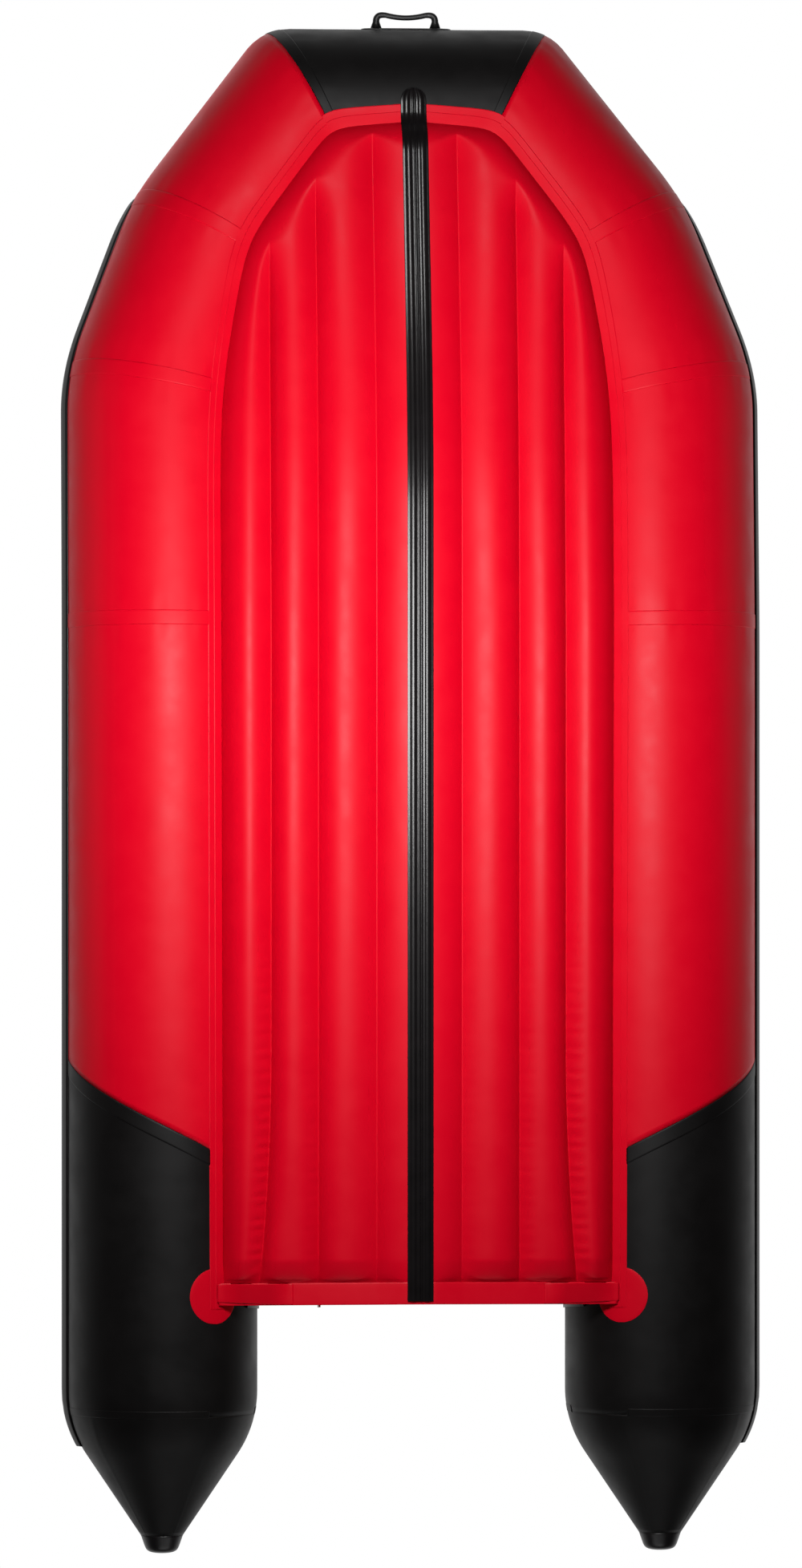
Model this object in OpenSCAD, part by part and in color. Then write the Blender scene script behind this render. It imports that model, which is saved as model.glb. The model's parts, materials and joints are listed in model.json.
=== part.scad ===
// Inflatable motor dinghy: mitred air tubes, V-bottomed air floor, transom and fittings.
// Millimetres. The bow looks to -Y, port is +X, up is +Z, the keel strip's underside is z = 0.

/* [Hull] */
// Length from the front of the bow tube to the stern cone tips
hull_length = 3210; // [3100:10:3400]
// Beam over the rub strakes
beam = 1470; // [1440:10:1540]
// Diameter of the air tubes
tube_d = 400; // [380:5:415]
// Thickness of the coated tube fabric
fabric_t = 1; // [0.8:0.1:1.3]
// Height of the tubes' underside above the keel strip's underside
keel_drop = 30; // [24:1:36]
// Fabric edges stop this far apart under their tape
seam_gap = 0.2; // [0.1:0.05:0.5]

/* [Bow] */
// Height of the bow tube's axis above the side tubes' axis
bow_rise = 150; // [130:5:180]
// Height of the tube's axis at the forward bend
fwd_rise = 90; // [75:5:105]
// Height of the tube's axis at the shoulder bend
sho_rise = 40; // [30:5:50]
// Width of the bow tube between its two mitre corners, on the axis
bow_w = 410; // [380:5:440]
// Length of a forward tube on its axis, seen from above
forward_len = 335; // [320:1:350]
// Angle of a forward tube to the keel line
forward_angle = 37.5; // [35:0.5:40]
// Angle of a shoulder tube to the keel line
shoulder_angle = 21; // [19:0.5:24]

/* [Tube panels] */
// Distance from the bow's front to the mid seam with the chamber wall
mid_seam = 1258; // [1220:2:1300]
// Distance from the cone tips to the stern panel's seam, under the tube
stern_panel = 897; // [860:1:930]
// Forward slope of the stern panel's seam toward outboard
seam_slope = 0.5; // [0.4:0.02:0.6]
// Length of a stern cone with its tip
cone_length = 296; // [280:2:310]
// Half angle of a stern cone in degrees
cone_angle = 37; // [34:0.5:39]
// Radius of the bend where the tube turns into the cone
cone_bend = 120; // [100:5:140]
// Length of the moulded tip on a stern cone
tip_length = 38; // [32:1:44]
// Width of the seam tapes
seam_tape_w = 30; // [24:1:36]
// Thickness of every tape
tape_t = 0.8; // [0.6:0.05:1]

/* [Air floor] */
// Where the lower skin meets the side tubes, degrees inboard from the tube's underside
floor_angle = 36; // [34:0.5:38]
// Where the upper skin meets the side tubes, degrees inboard from the tube's underside
deck_angle = 52; // [50:0.5:55]
// Offset of the inner webs from the keel line
web_in = 89; // [80:1:98]
// Offset of the middle webs from the keel line
web_mid = 210; // [200:1:220]
// Offset of the outer webs from the keel line
web_out = 308; // [298:1:318]
// Height of a lower chamber's bulge over its width
bulge = 0.155; // [0.13:0.005:0.17]
// Height of the keel chamber's bulge over its width
keel_bulge = 0.11; // [0.1:0.005:0.125]
// Height of an upper chamber's bulge over its width
deck_bulge = 0.07; // [0.05:0.005:0.09]
// Length over which the keel line climbs to the bow
rocker_len = 800; // [760:10:860]
// Width of the tape between floor and tubes
floor_tape_w = 30; // [25:1:34]
// Width of the keel strip
strip_w = 54; // [48:1:60]
// Thickness of the keel strip at its ridges
strip_t = 4.5; // [4:0.25:5.5]
// How far the keel strip runs up the bow tube past the floor
strip_lap = 72; // [60:1:80]

/* [Rub strake and handle] */
// How far the rub strake stands off the tube
strake_h = 10; // [8:0.5:12]
// Height of the rub strake on the tube
strake_w = 60; // [54:1:66]
// How far the bow handle reaches ahead of the bow tube
handle_reach = 37; // [34:0.5:42]
// Width of the bow handle over its legs
handle_w = 139; // [130:1:150]
// Width of the handle's bonded pad
handle_pad_w = 190; // [180:1:210]

/* [Transom] */
// Thickness of the transom board
transom_t = 28; // [25:1:32]
// Height of the transom board's top edge over the keel
transom_h = 400; // [385:5:415]
// Angle that the transom leans aft
transom_rake = 4; // [3:0.5:5]
// Distance from the cone tips to the transom's lower aft edge
transom_in = 542; // [525:1:560]
// Width of the motor pads
pad_w = 300; // [280:5:320]
// Height of the outer motor pad
pad_outer_h = 165; // [150:5:180]
// Height of the inner motor pad
pad_inner_h = 110; // [100:5:120]
// Thickness of the motor pads
pad_t = 4; // [3:0.5:5]
// Diameter of the corner patches under the transom's ends
patch_d = 115; // [105:1:125]
// Outer diameter of the drain fitting's barrel
drain_d = 36; // [32:1:40]

/* [Thwarts] */
// Width of a thwart, fore and aft
thwart_w = 220; // [200:5:240]
// Thickness of a thwart board
thwart_t = 14; // [12:1:18]
// Length of the seat tracks
track_len = 1000; // [960:10:1020]
// Diameter of the bead that the sliders ride on
bead_d = 9; // [8:0.5:10]
// Clearance of a slider around its track
slide_gap = 0.4; // [0.3:0.05:0.6]

/* [Rowlocks] */
// Diameter of the rowlock pin
pin_d = 14; // [12:0.5:16]
// Radial clearance of the pin in its socket
pin_gap = 0.06; // [0.03:0.01:0.09]
// Bore for the oar's shaft
oar_d = 38; // [35:0.5:42]
// Length of the oar bore
oar_len = 50; // [44:1:56]

/* [Air valves] */
// Outer diameter of the valve barrel
valve_d = 44; // [42:0.5:46]
// Diameter of the valve flange
flange_d = 62; // [60:1:66]
// Travel of the valve stem
valve_travel = 4; // [3:0.25:5]
// Radial clearance of the valve stem in its guide
stem_gap = 0.05; // [0.03:0.01:0.08]
// Distance from the transom to the floor valve
floor_valve_in = 130; // [120:1:140]
// Length of the grip across a valve cap
cap_grip = 44; // [40:1:48]

/* [Hidden] */
$fn = 96;

red = [0.8, 0.04, 0.08];
black = [0.07, 0.07, 0.07];
grey = [0.28, 0.29, 0.3];
ply = [0.55, 0.4, 0.24];
steel = [0.7, 0.7, 0.72];

// Tube path: from the middle of the bow to the port cone
r = tube_d / 2;
xs = beam / 2 - strake_h - r;
zc = keel_drop + r;
y_bow = -(hull_length - handle_reach) / 2;
y_tip = y_bow + hull_length;
bow_c = [bow_w / 2, y_bow + r, zc + bow_rise];
fwd_c = [bow_c.x + forward_len * sin(forward_angle),
    bow_c.y + forward_len * cos(forward_angle), zc + fwd_rise];
sho_c = [xs, fwd_c.y + (xs - fwd_c.x) / tan(shoulder_angle), zc + sho_rise];
mid_c = [xs, y_bow + mid_seam, zc];
cone_c = [xs, y_tip - cone_length, zc];
path = [[0, bow_c.y, bow_c.z], bow_c, fwd_c, sho_c, mid_c, cone_c];
ext = 160;
big = 3600;

function unit(v) = v / norm(v);
function mix(a, b, s) = a + (b - a) * s;
function back(list) = [for (i = [len(list) - 1:-1:0]) list[i]];

// Direction of segment i, and the normal of the mitre plane at point i
function way(i) = unit(path[i + 1] - path[i]);
function mitre(i) = i == 0 ? [1, 0, 0] : i == 5 ? [0, 1, 0] : unit(way(i - 1) + way(i));

// Directions across segment i: toward its underside and toward the inside of the boat
function under(i) = unit([0, 0, -1] + way(i).z * way(i));
function inside(i) = cross(way(i), under(i));
function spoke(i, a) = sin(a) * inside(i) + cos(a) * under(i);

// Point on segment i at share s, a degrees inboard from the underside, at radius rr
function on_tube(i, s, a, rr) = let(
    v = rr * spoke(i, a),
    k0 = -(mitre(i) * v) / (mitre(i) * way(i)),
    k1 = norm(path[i + 1] - path[i]) - (mitre(i + 1) * v) / (mitre(i + 1) * way(i)))
    path[i] + v + way(i) * mix(k0, k1, s);

// The angle at which a line leaves point i + 1 if it reaches it at angle a on segment i
function turned(i, a) = let(v = spoke(i, a), m = mitre(i + 1), q = v - 2 * (m * v) * m)
    atan2(q * inside(i + 1), q * under(i + 1));

// The angle on segment i from which a line reaches angle a on segment i + 1
function came(i, a) = let(v = spoke(i + 1, a), m = mitre(i + 1), q = v - 2 * (m * v) * m)
    atan2(q * inside(i), q * under(i));

// Angle on segment i at share s for a line that starts at a0 and ends each segment at ends[i]
function line_angle(i, s, a0, ends) =
    mix(i == 0 ? a0 : turned(i - 1, ends[i - 1]), ends[i], s);

// Local frame of segment i: x inward, y up, z along the tube
module along(i) {
    u = inside(i);
    v = -under(i);
    w = way(i);
    p = path[i];
    multmatrix([[u.x, v.x, w.x, p.x], [u.y, v.y, w.y, p.y], [u.z, v.z, w.z, p.z], [0, 0, 0, 1]])
        children();
}

// Frame on the tube's skin: z outward at angle a, y along the tube
module on_skin(i, z, a) {
    along(i) translate([0, 0, z]) rotate([0, 0, a]) translate([0, -r, 0]) rotate([90, 0, 0])
        children();
}

// Everything on the +m side of the plane through p
module beyond(p, m) {
    translate(p) rotate([0, acos(m.z), atan2(m.y, m.x)]) translate([-big / 2, -big / 2, 0])
        cube(big);
}

// Pipe around segment i, longer than it at both ends
module pipe(i, r0, r1) {
    along(i) translate([0, 0, -ext]) difference() {
        cylinder(r = r1, h = norm(path[i + 1] - path[i]) + 2 * ext);
        translate([0, 0, -1]) cylinder(r = r0, h = norm(path[i + 1] - path[i]) + 2 * ext + 2);
    }
}

// Solid bar around segment i, used to cut pieces that lie on the tube
module core(i, rr) {
    along(i) translate([0, 0, -ext])
        cylinder(r = rr, h = norm(path[i + 1] - path[i]) + 2 * ext, $fn = 240);
}

// Angular slice of segment i from a0 to a1
module slice(i, a0, a1, z0, z1) {
    step = (a1 - a0) / 6;
    along(i) translate([0, 0, z0]) linear_extrude(z1 - z0)
        polygon(concat([[0, 0]], [for (k = [0:6]) 2 * r * [sin(a0 + k * step), -cos(a0 + k * step)]]));
}

// Tube panel on segment i between the mitre planes at its ends
module panel(i) {
    difference() {
        pipe(i, r - fabric_t, r);
        beyond(path[i] + mitre(i) * seam_gap / 2, -mitre(i));
        beyond(path[i + 1] - mitre(i + 1) * seam_gap / 2, mitre(i + 1));
    }
}

// Stern panel seam: an oblique plane across the side tube
seam_p = [xs, y_tip - stern_panel, zc - r];
seam_m = unit([seam_slope, 1, 0.16]);
valve_y = y_tip - 750;
valve_a = 118;
valve_hole = valve_d / 2 + 0.3;

module valve_cut() translate([0, 0, -flange_d / 2]) cylinder(r = valve_hole, h = flange_d);

module aft_side() {
    difference() {
        pipe(4, r - fabric_t, r);
        beyond(path[4] + mitre(4) * seam_gap / 2, -mitre(4));
        beyond(seam_p - seam_m * seam_gap / 2, seam_m);
    }
}

module stern_side() {
    difference() {
        pipe(4, r - fabric_t, r);
        beyond(seam_p + seam_m * seam_gap / 2, -seam_m);
        beyond(path[5] - [0, seam_gap / 2, 0], [0, 1, 0]);
        on_skin(4, valve_y - mid_c.y, valve_a) valve_cut();
    }
}

module bow_tube() {
    color(black) difference() {
        translate([-bow_c.x - ext, bow_c.y, bow_c.z]) rotate([0, 90, 0]) difference() {
            cylinder(r = r, h = bow_w + 2 * ext);
            translate([0, 0, -1]) cylinder(r = r - fabric_t, h = bow_w + 2 * ext + 2);
        }
        beyond(bow_c - mitre(1) * seam_gap / 2, mitre(1));
        mirror([1, 0, 0]) beyond(bow_c - mitre(1) * seam_gap / 2, mitre(1));
        on_skin(0, 0, valve_a) valve_cut();
    }
}

module port_forward_tube() color(red) panel(1);
module starboard_forward_tube() color(red) mirror([1, 0, 0]) panel(1);
module port_shoulder_tube() color(red) panel(2);
module starboard_shoulder_tube() color(red) mirror([1, 0, 0]) panel(2);
module port_fore_side_tube() color(red) panel(3);
module starboard_fore_side_tube() color(red) mirror([1, 0, 0]) panel(3);
module port_aft_side_tube() color(red) aft_side();
module starboard_aft_side_tube() color(red) mirror([1, 0, 0]) aft_side();
module port_stern_tube() color(black) stern_side();
module starboard_stern_tube() color(black) mirror([1, 0, 0]) stern_side();

// Stern cone: a bend out of the tube, a straight taper and a moulded round tip
cone_run = cone_length - tip_length;
function cone_r(z) = z < cone_bend * sin(cone_angle)
    ? r - cone_bend * (1 - sqrt(1 - pow(max(z, 0) / cone_bend, 2)))
    : r - cone_bend * (1 - cos(cone_angle)) - (z - cone_bend * sin(cone_angle)) * tan(cone_angle);
function cone_line(off) = concat(
    [for (k = [0:5]) let(z = cone_bend * sin(cone_angle) * k / 5) [cone_r(z) + off, z]],
    [[cone_r(cone_run) + off, cone_run]]);

module cone_frame() translate(cone_c) rotate([-90, 0, 0]) children();

module stern_cone() {
    cone_frame() translate([0, 0, seam_gap / 2])
        rotate_extrude() polygon(concat(cone_line(0), back(cone_line(-fabric_t * 1.15))));
}

module port_stern_cone() color(black) stern_cone();
module starboard_stern_cone() color(black) mirror([1, 0, 0]) stern_cone();

module cone_tip() {
    rt = cone_r(cone_run);
    z0 = cone_run + seam_gap;
    e = cone_length;
    cone_frame() rotate_extrude() polygon([
        [rt, z0], [0.88 * rt, z0 + 0.4 * tip_length], [0.77 * rt, z0 + 0.75 * tip_length],
        [0.62 * rt, e - 2.5], [0.45 * rt, e], [0, e], [0, e - 3], [0.4 * rt, e - 3],
        [0.77 * rt - 3, z0 + 0.72 * tip_length], [0.88 * rt - 3, z0 + 0.4 * tip_length], [rt - 3, z0]]);
}

module cone_tips() {
    color(black) cone_tip();
    color(black) mirror([1, 0, 0]) cone_tip();
}

// Chamber wall: a domed membrane across each side tube behind the mid seam
module chamber_wall() {
    dome = 1.25 * r;
    rim = r - fabric_t - 0.2;
    a = asin(rim / dome);
    along(4) translate([0, 0, 60 - dome * cos(a)]) rotate_extrude()
        polygon(concat([for (k = [0:8]) dome * [sin(a * k / 8), cos(a * k / 8)]],
            [for (k = [8:-1:0]) (dome - 1) * [sin(a * k / 8), cos(a * k / 8)]]));
}

module chamber_walls() {
    color(red) chamber_wall();
    color(red) mirror([1, 0, 0]) chamber_wall();
}

// Floor edge lines, as angles on the tubes from the bow to the stern
floor_ends = [6, 12, floor_angle - 3, floor_angle, floor_angle];
floor_start = 2;
deck_ends = [30, 40, deck_angle, deck_angle, deck_angle];
deck_start = 24;
lay_gap = 0.3;
tape_deg = floor_tape_w / r * 180 / PI;

// Seam tape: a band over the mitre at point i, clear of floor tape, strake and deck edge
strake_deg = strake_w / 2 / r * 180 / PI + 1.5;
function strake_a(i) = i == 4 ? -90 : i == 0 ? -90 : came(i, strake_a(i + 1));

module band(i, p, m, w, a0, a1) {
    difference() {
        intersection() {
            pipe(i, r + 0.1, r + 0.1 + tape_t);
            slice(i, a0, a1, -ext, norm(path[i + 1] - path[i]) + ext);
        }
        beyond(p, -m);
        beyond(p + m * w, m);
    }
}

module band_pair(i, p, m, w, a_floor, a_deck) {
    band(i, p, m, w, strake_a(i) + strake_deg, a_floor - tape_deg - 1.6);
    band(i, p, m, w, a_deck + 2, 180);
    band(i, p, m, w, 180, strake_a(i) + 360 - strake_deg);
}

module seam_tape(i) {
    h = seam_tape_w / 2;
    band_pair(i - 1, path[i] - mitre(i) * (h + 0.1), mitre(i), h,
        floor_ends[i - 1], deck_ends[i - 1]);
    band_pair(i, path[i] + mitre(i) * 0.1, mitre(i), h,
        turned(i - 1, floor_ends[i - 1]), turned(i - 1, deck_ends[i - 1]));
}

module red_tapes() for (i = [2:4]) seam_tape(i);
module port_seam_tapes() color(red) red_tapes();
module starboard_seam_tapes() color(red) mirror([1, 0, 0]) red_tapes();

module black_tapes() {
    h = seam_tape_w / 2;
    band_pair(1, bow_c + mitre(1) * 0.1, mitre(1), h,
        turned(0, floor_ends[0]), turned(0, deck_ends[0]));
    band_pair(4, seam_p + seam_m * 0.1, seam_m, seam_tape_w, floor_angle, deck_angle);
    band_pair(4, cone_c - [0, h + 0.1, 0], [0, 1, 0], h, floor_angle + tape_deg, deck_angle);
}

module black_seam_tapes() {
    color(black) black_tapes();
    color(black) mirror([1, 0, 0]) black_tapes();
}

// Stations of the floor: half width, y and z on the tube, and how full the chambers are
y_end = y_tip - transom_in - transom_t;
function edge_row(i, s, a0, ends, rr) =
    let(p = on_tube(i, s, line_angle(i, s, a0, ends), rr)) [p.x, p.y, p.z, 1];
function bow_rows(a0, ends, rr) = concat(
    [for (s = [0.12, 0.45, 0.75, 1]) edge_row(0, s, a0, ends, rr)],
    [for (s = [0.15, 0.3, 0.45, 0.6, 0.8, 1]) edge_row(1, s, a0, ends, rr)],
    [for (s = [0.25, 0.5, 0.75, 1]) edge_row(2, s, a0, ends, rr)],
    [for (s = [0.12, 0.25, 0.38, 0.5, 1]) edge_row(3, s, a0, ends, rr)]);
function aft_rows(a, rr, y1) = [for (k = [[60, 1], [38, 0.85], [20, 0.55], [8, 0.3], [0, 0.12]])
    [xs - rr * sin(a), y1 - k[0], zc - rr * cos(a), k[1]]];
low_rows = concat(bow_rows(floor_start, floor_ends, r + lay_gap),
    aft_rows(floor_angle, r + lay_gap, y_end - 0.4));
top_rows = concat(bow_rows(deck_start, deck_ends, r + lay_gap + fabric_t),
    aft_rows(deck_angle, r + lay_gap + fabric_t, y_end - 0.4));

// Underside of the floor on the keel line
keel_z0 = strip_t + 0.2;
y_front = low_rows[0][1];
keel_z1 = low_rows[0][2] - fabric_t - 6;
function keel_z(y) = let(u = max(0, min(1, (y_front + rocker_len - y) / rocker_len)))
    keel_z0 + (keel_z1 - keel_z0) * u * u * (2 - u);

// Web offsets at a station, pressed together where the floor gets narrow
function knots(row) = [min(web_in, row[0] - 12), min(web_mid, row[0] - 8), min(web_out, row[0] - 4), row[0]];
function both_sides(k) = [-k[3], -k[2], -k[1], -k[0], k[0], k[1], k[2], k[3]];
function keel_sag(row) = min(2 * knots(row)[0] * keel_bulge, max(0.5, row[2] - fabric_t - keel_z(row[1])));
function valley(row, x) = let(k0 = knots(row)[0], zi = keel_z(row[1]) + keel_sag(row))
    mix(zi, row[2] - fabric_t, (abs(x) - k0) / (row[0] - k0));

// Lower skin across a station: seven chambers that hang between the webs
low_n = 6;
function low_line(row) = let(k = both_sides(knots(row))) concat(
    [for (c = [0:6]) for (j = [0:low_n - 1]) let(f = j / low_n,
        sag = c == 3 ? keel_sag(row) : (k[c + 1] - k[c]) * bulge * row[3])
        [mix(k[c], k[c + 1], f), row[1],
            mix(valley(row, k[c]), valley(row, k[c + 1]), f) - 4 * sag * f * (1 - f)]],
    [[k[7], row[1], valley(row, k[7])]]);

// Upper skin across a station: the same chambers, with lower bulges that grow behind the bow tube
top_n = 4;
function deck_fill(row) = row[3] * max(0, min(1, (row[1] - top_rows[0][1] - 20) / 200));
function top_line(row) = let(k = both_sides(knots(row))) concat(
    [for (c = [0:6]) for (j = [0:top_n - 1]) let(f = j / top_n,
        sag = (k[c + 1] - k[c]) * deck_bulge * deck_fill(row))
        [mix(k[c], k[c + 1], f), row[1], row[2] + 4 * sag * f * (1 - f)]],
    [[k[7], row[1], row[2]]]);

// Closed sheet of thickness t over a grid of points
module sheet(g, t) {
    n = len(g);
    m = len(g[0]);
    pts = concat([for (l = g) for (p = l) p], [for (l = g) for (p = l) p + [0, 0, t]]);
    function id(i, j, s) = s * n * m + i * m + j;
    cells = [for (i = [0:n - 2]) for (j = [0:m - 2]) [i, j]];
    polyhedron(pts, concat(
        [for (c = cells) [id(c[0], c[1], 0), id(c[0] + 1, c[1], 0), id(c[0], c[1] + 1, 0)]],
        [for (c = cells) [id(c[0] + 1, c[1], 0), id(c[0] + 1, c[1] + 1, 0), id(c[0], c[1] + 1, 0)]],
        [for (c = cells) [id(c[0], c[1], 1), id(c[0], c[1] + 1, 1), id(c[0] + 1, c[1], 1)]],
        [for (c = cells) [id(c[0] + 1, c[1], 1), id(c[0], c[1] + 1, 1), id(c[0] + 1, c[1] + 1, 1)]],
        [for (j = [0:m - 2]) for (q = [0, 1]) q == 0
            ? [id(0, j, 0), id(0, j + 1, 0), id(0, j, 1)]
            : [id(0, j + 1, 0), id(0, j + 1, 1), id(0, j, 1)]],
        [for (j = [0:m - 2]) for (q = [0, 1]) q == 0
            ? [id(n - 1, j, 0), id(n - 1, j, 1), id(n - 1, j + 1, 0)]
            : [id(n - 1, j + 1, 0), id(n - 1, j, 1), id(n - 1, j + 1, 1)]],
        [for (i = [0:n - 2]) for (q = [0, 1]) q == 0
            ? [id(i, 0, 0), id(i, 0, 1), id(i + 1, 0, 0)]
            : [id(i + 1, 0, 0), id(i, 0, 1), id(i + 1, 0, 1)]],
        [for (i = [0:n - 2]) for (q = [0, 1]) q == 0
            ? [id(i, m - 1, 0), id(i + 1, m - 1, 0), id(i, m - 1, 1)]
            : [id(i + 1, m - 1, 0), id(i + 1, m - 1, 1), id(i, m - 1, 1)]]), convexity = 12);
}

// Closed bar through a list of rings that all have the same number of points
module bar(rings) {
    n = len(rings);
    m = len(rings[0]);
    function id(i, j) = i * m + j % m;
    polyhedron([for (l = rings) for (p = l) p], concat(
        [for (i = [0:n - 2]) for (j = [0:m - 1]) [id(i, j), id(i, j + 1), id(i + 1, j)]],
        [for (i = [0:n - 2]) for (j = [0:m - 1]) [id(i, j + 1), id(i + 1, j + 1), id(i + 1, j)]],
        [[for (j = [m - 1:-1:0]) id(0, j)]],
        [[for (j = [0:m - 1]) id(n - 1, j)]]), convexity = 10);
}

floor_valve_x = (web_in + web_mid) / 2;
floor_valve_y = y_end - floor_valve_in;
floor_valve_z = zc - (r + lay_gap + fabric_t) * cos(deck_angle) + fabric_t
    + (web_mid - web_in) * deck_bulge;

module floor_lower_skin() color(red) sheet([for (row = low_rows) low_line(row)], fabric_t);

module floor_upper_skin() {
    color(grey) difference() {
        sheet([for (row = top_rows) top_line(row)], fabric_t);
        translate([floor_valve_x, floor_valve_y, floor_valve_z]) valve_cut();
    }
}

// Webs: upright fabric strips that tie the skins together along each valley
module web(k, side) {
    low = [for (row = low_rows) [row[1], valley(row, k) + fabric_t + lay_gap]];
    rows = [for (row = top_rows) if (row[0] > k + 14) row];
    h = fabric_t / 2;
    bar([for (row = rows) let(z0 = lookup(row[1], low), z1 = row[2] - lay_gap)
        [[side * k - h, row[1], z0], [side * k + h, row[1], z0],
            [side * k + h, row[1], z1], [side * k - h, row[1], z1]]]);
}

module floor_webs() {
    for (k = [web_in, web_mid, web_out]) {
        color(grey) web(k, 1);
        color(grey) web(k, -1);
    }
}

// Keel strip: a ribbed extrusion along the keel line and up the bow tube
bow_lay = r + 0.3 + tape_t + 1.2;
function strip_top(y) = y > y_front + 20 ? keel_z(y) - 0.15
    : min(keel_z(max(y, y_front)) - 0.15, bow_c.z - sqrt(pow(bow_lay, 2) - pow(y - bow_c.y, 2)));
strip_half = [[1, -2.6], [0.86, -2.6], [0.8, -3.4], [0.62, -4.5], [0.4, -4.5], [0.3, -3], [0.12, -3],
    [0.08, -3.8]];
function strip_ring(y) = let(z = strip_top(y)) concat(
    [[strip_w / 2, y, z], [-strip_w / 2, y, z]],
    [for (s = strip_half) [-s[0] * strip_w / 2, y, z + s[1] * strip_t / 4.5]],
    [for (s = back(strip_half)) [s[0] * strip_w / 2, y, z + s[1] * strip_t / 4.5]]);
y_strip = y_front - strip_lap;

module keel_strip() {
    ys = concat([for (k = [0:4]) mix(y_strip, y_front - 6, k / 4)],
        [for (row = low_rows) row[1]], [y_end + transom_t + 4]);
    color(black) bar([for (y = ys) strip_ring(y)]);
}

// Floor tapes: bands on the tubes along the lower skin's edge
function tape_ring(i, s, a0, ends) = let(a = line_angle(i, s, a0, ends) - 0.5, w = tape_deg)
    concat([for (k = [0:3]) on_tube(i, s, a - w * k / 3, r + 0.35)],
        [for (k = [3:-1:0]) on_tube(i, s, a - w * k / 3, r + 0.35 + tape_t)]);
tape_end = (y_tip - transom_in - mid_c.y) / (cone_c.y - mid_c.y);

module side_floor_tape() {
    bar(concat([for (s = [0.004, 0.15, 0.3, 0.45, 0.6, 0.8, 1]) tape_ring(1, s, floor_start, floor_ends)],
        [for (k = [1:8]) tape_ring(2, k / 8, floor_start, floor_ends)],
        [for (s = [0.5, 1]) tape_ring(3, s, floor_start, floor_ends)],
        [for (s = [0.02, tape_end]) tape_ring(4, s, floor_start, floor_ends)]));
}

module port_floor_tape() color(red) side_floor_tape();
module starboard_floor_tape() color(red) mirror([1, 0, 0]) side_floor_tape();

module bow_floor_tape() {
    half = [for (s = [0, 0.25, 0.5, 0.75, 0.996]) tape_ring(0, s, floor_start, floor_ends)];
    left = [for (k = [4:-1:1]) [for (p = half[k]) [-p.x, p.y, p.z]]];
    color(red) bar(concat(left, half));
}

// Lower edge of the transom board across the boat
end_row = low_rows[len(low_rows) - 1];
board_gap = 4.5;
edge_z = keel_z0 + tape_t + 0.6 + (transom_t + 6) * sin(transom_rake);
edge_line = [[0, edge_z], [strip_w / 2 + 4, edge_z],
    [web_in, valley(end_row, web_in) - 4], [end_row[0], valley(end_row, end_row[0]) - 6]];
function board_z(x) = lookup(abs(x), edge_line);
edge_x = [strip_w / 2 + 4, web_in];
function board_x(end) = concat([-end], [for (x = back(edge_x)) -x], edge_x, [end]);

module transom_tape() {
    xt = board_x(0.91 * end_row[0]);
    color(red) on_board() translate([0, transom_t + 5.5, 0]) rotate([90, 0, 0])
        linear_extrude(transom_t + 5) polygon(concat(
            [for (x = xt) [x, board_z(x) - 0.2 - tape_t]], [for (x = back(xt)) [x, board_z(x) - 0.2]]));
}

// Corner patches: round discs on the tubes below the transom's ends
patch_a = 30;

module corner_patch() {
    difference() {
        intersection() {
            pipe(4, r + 0.35 + tape_t + 0.2, r + 0.35 + 2 * tape_t + 0.2);
            on_skin(4, y_end + 0.85 * transom_t - mid_c.y, patch_a) translate([0, 0, -60])
                cylinder(d = patch_d, h = 100);
        }
        slice(4, floor_angle - 1, floor_angle + 30, 0, y_end - mid_c.y);
    }
}

module corner_patches() {
    color(red) corner_patch();
    color(red) mirror([1, 0, 0]) corner_patch();
}

// Rub strake: a ribbed extrusion on the tube's outboard side, with a bent end on the cone
module strake_shape(off) {
    h = strake_w / 2;
    polygon([[off - 8, -h], [off + 2.5, -h], [off + 0.6 * strake_h, -0.72 * h],
        [off + strake_h, -0.36 * h], [off + 0.7 * strake_h, -0.2 * h], [off + 0.7 * strake_h, 0.2 * h],
        [off + strake_h, 0.36 * h], [off + 0.6 * strake_h, 0.72 * h], [off + 2.5, h], [off - 8, h]]);
}

strake_lap = 0.4;

module strake_run(i) {
    difference() {
        along(i) rotate([0, 0, strake_a(i) + 90]) translate([0, 0, -ext])
            linear_extrude(norm(path[i + 1] - path[i]) + 2 * ext) mirror([1, 0]) strake_shape(r);
        core(i, r + 0.25);
        beyond(path[i] - mitre(i) * strake_lap, -mitre(i));
        beyond(path[i + 1] + mitre(i + 1) * (i == 4 ? 0 : strake_lap), mitre(i + 1));
    }
}

module strake_end() {
    difference() {
        translate([cone_c.x + r - cone_bend, cone_c.y, cone_c.z])
            rotate_extrude(angle = cone_angle) strake_shape(cone_bend);
        cone_frame() rotate_extrude()
            polygon(concat([[0, -1], [r + 0.25, -1]], cone_line(0.35), [[0, cone_run]]));
    }
}

module rub_strake() {
    for (i = [2:4]) strake_run(i);
    strake_end();
}

module port_rub_strake() color(black) rub_strake();
module starboard_rub_strake() color(black) mirror([1, 0, 0]) rub_strake();

// Rod between two points
module rod(a, b, rr) {
    v = b - a;
    translate(a) rotate([0, acos(v.z / norm(v)), atan2(v.y, v.x)]) cylinder(r = rr, h = norm(v));
}

// Bow handle: a bonded pad and a moulded loop with a waved grip
pad_h = 56;
handle_pad_t = 3;
leg_r = 7;
grip_r = 5.3;

module bow_handle_pad() {
    w = handle_pad_w / 2;
    h = pad_h / 2;
    color(black) intersection() {
        pipe(0, r + 0.2, r + 0.2 + handle_pad_t);
        translate([0, y_bow + 60, bow_c.z]) rotate([90, 0, 0]) linear_extrude(80)
            polygon([[-w, -h + 14], [-w + 14, -h], [w - 14, -h], [w, -h + 14],
                [w, h - 14], [w - 14, h], [-w + 14, h], [-w, h - 14]]);
    }
}

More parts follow.
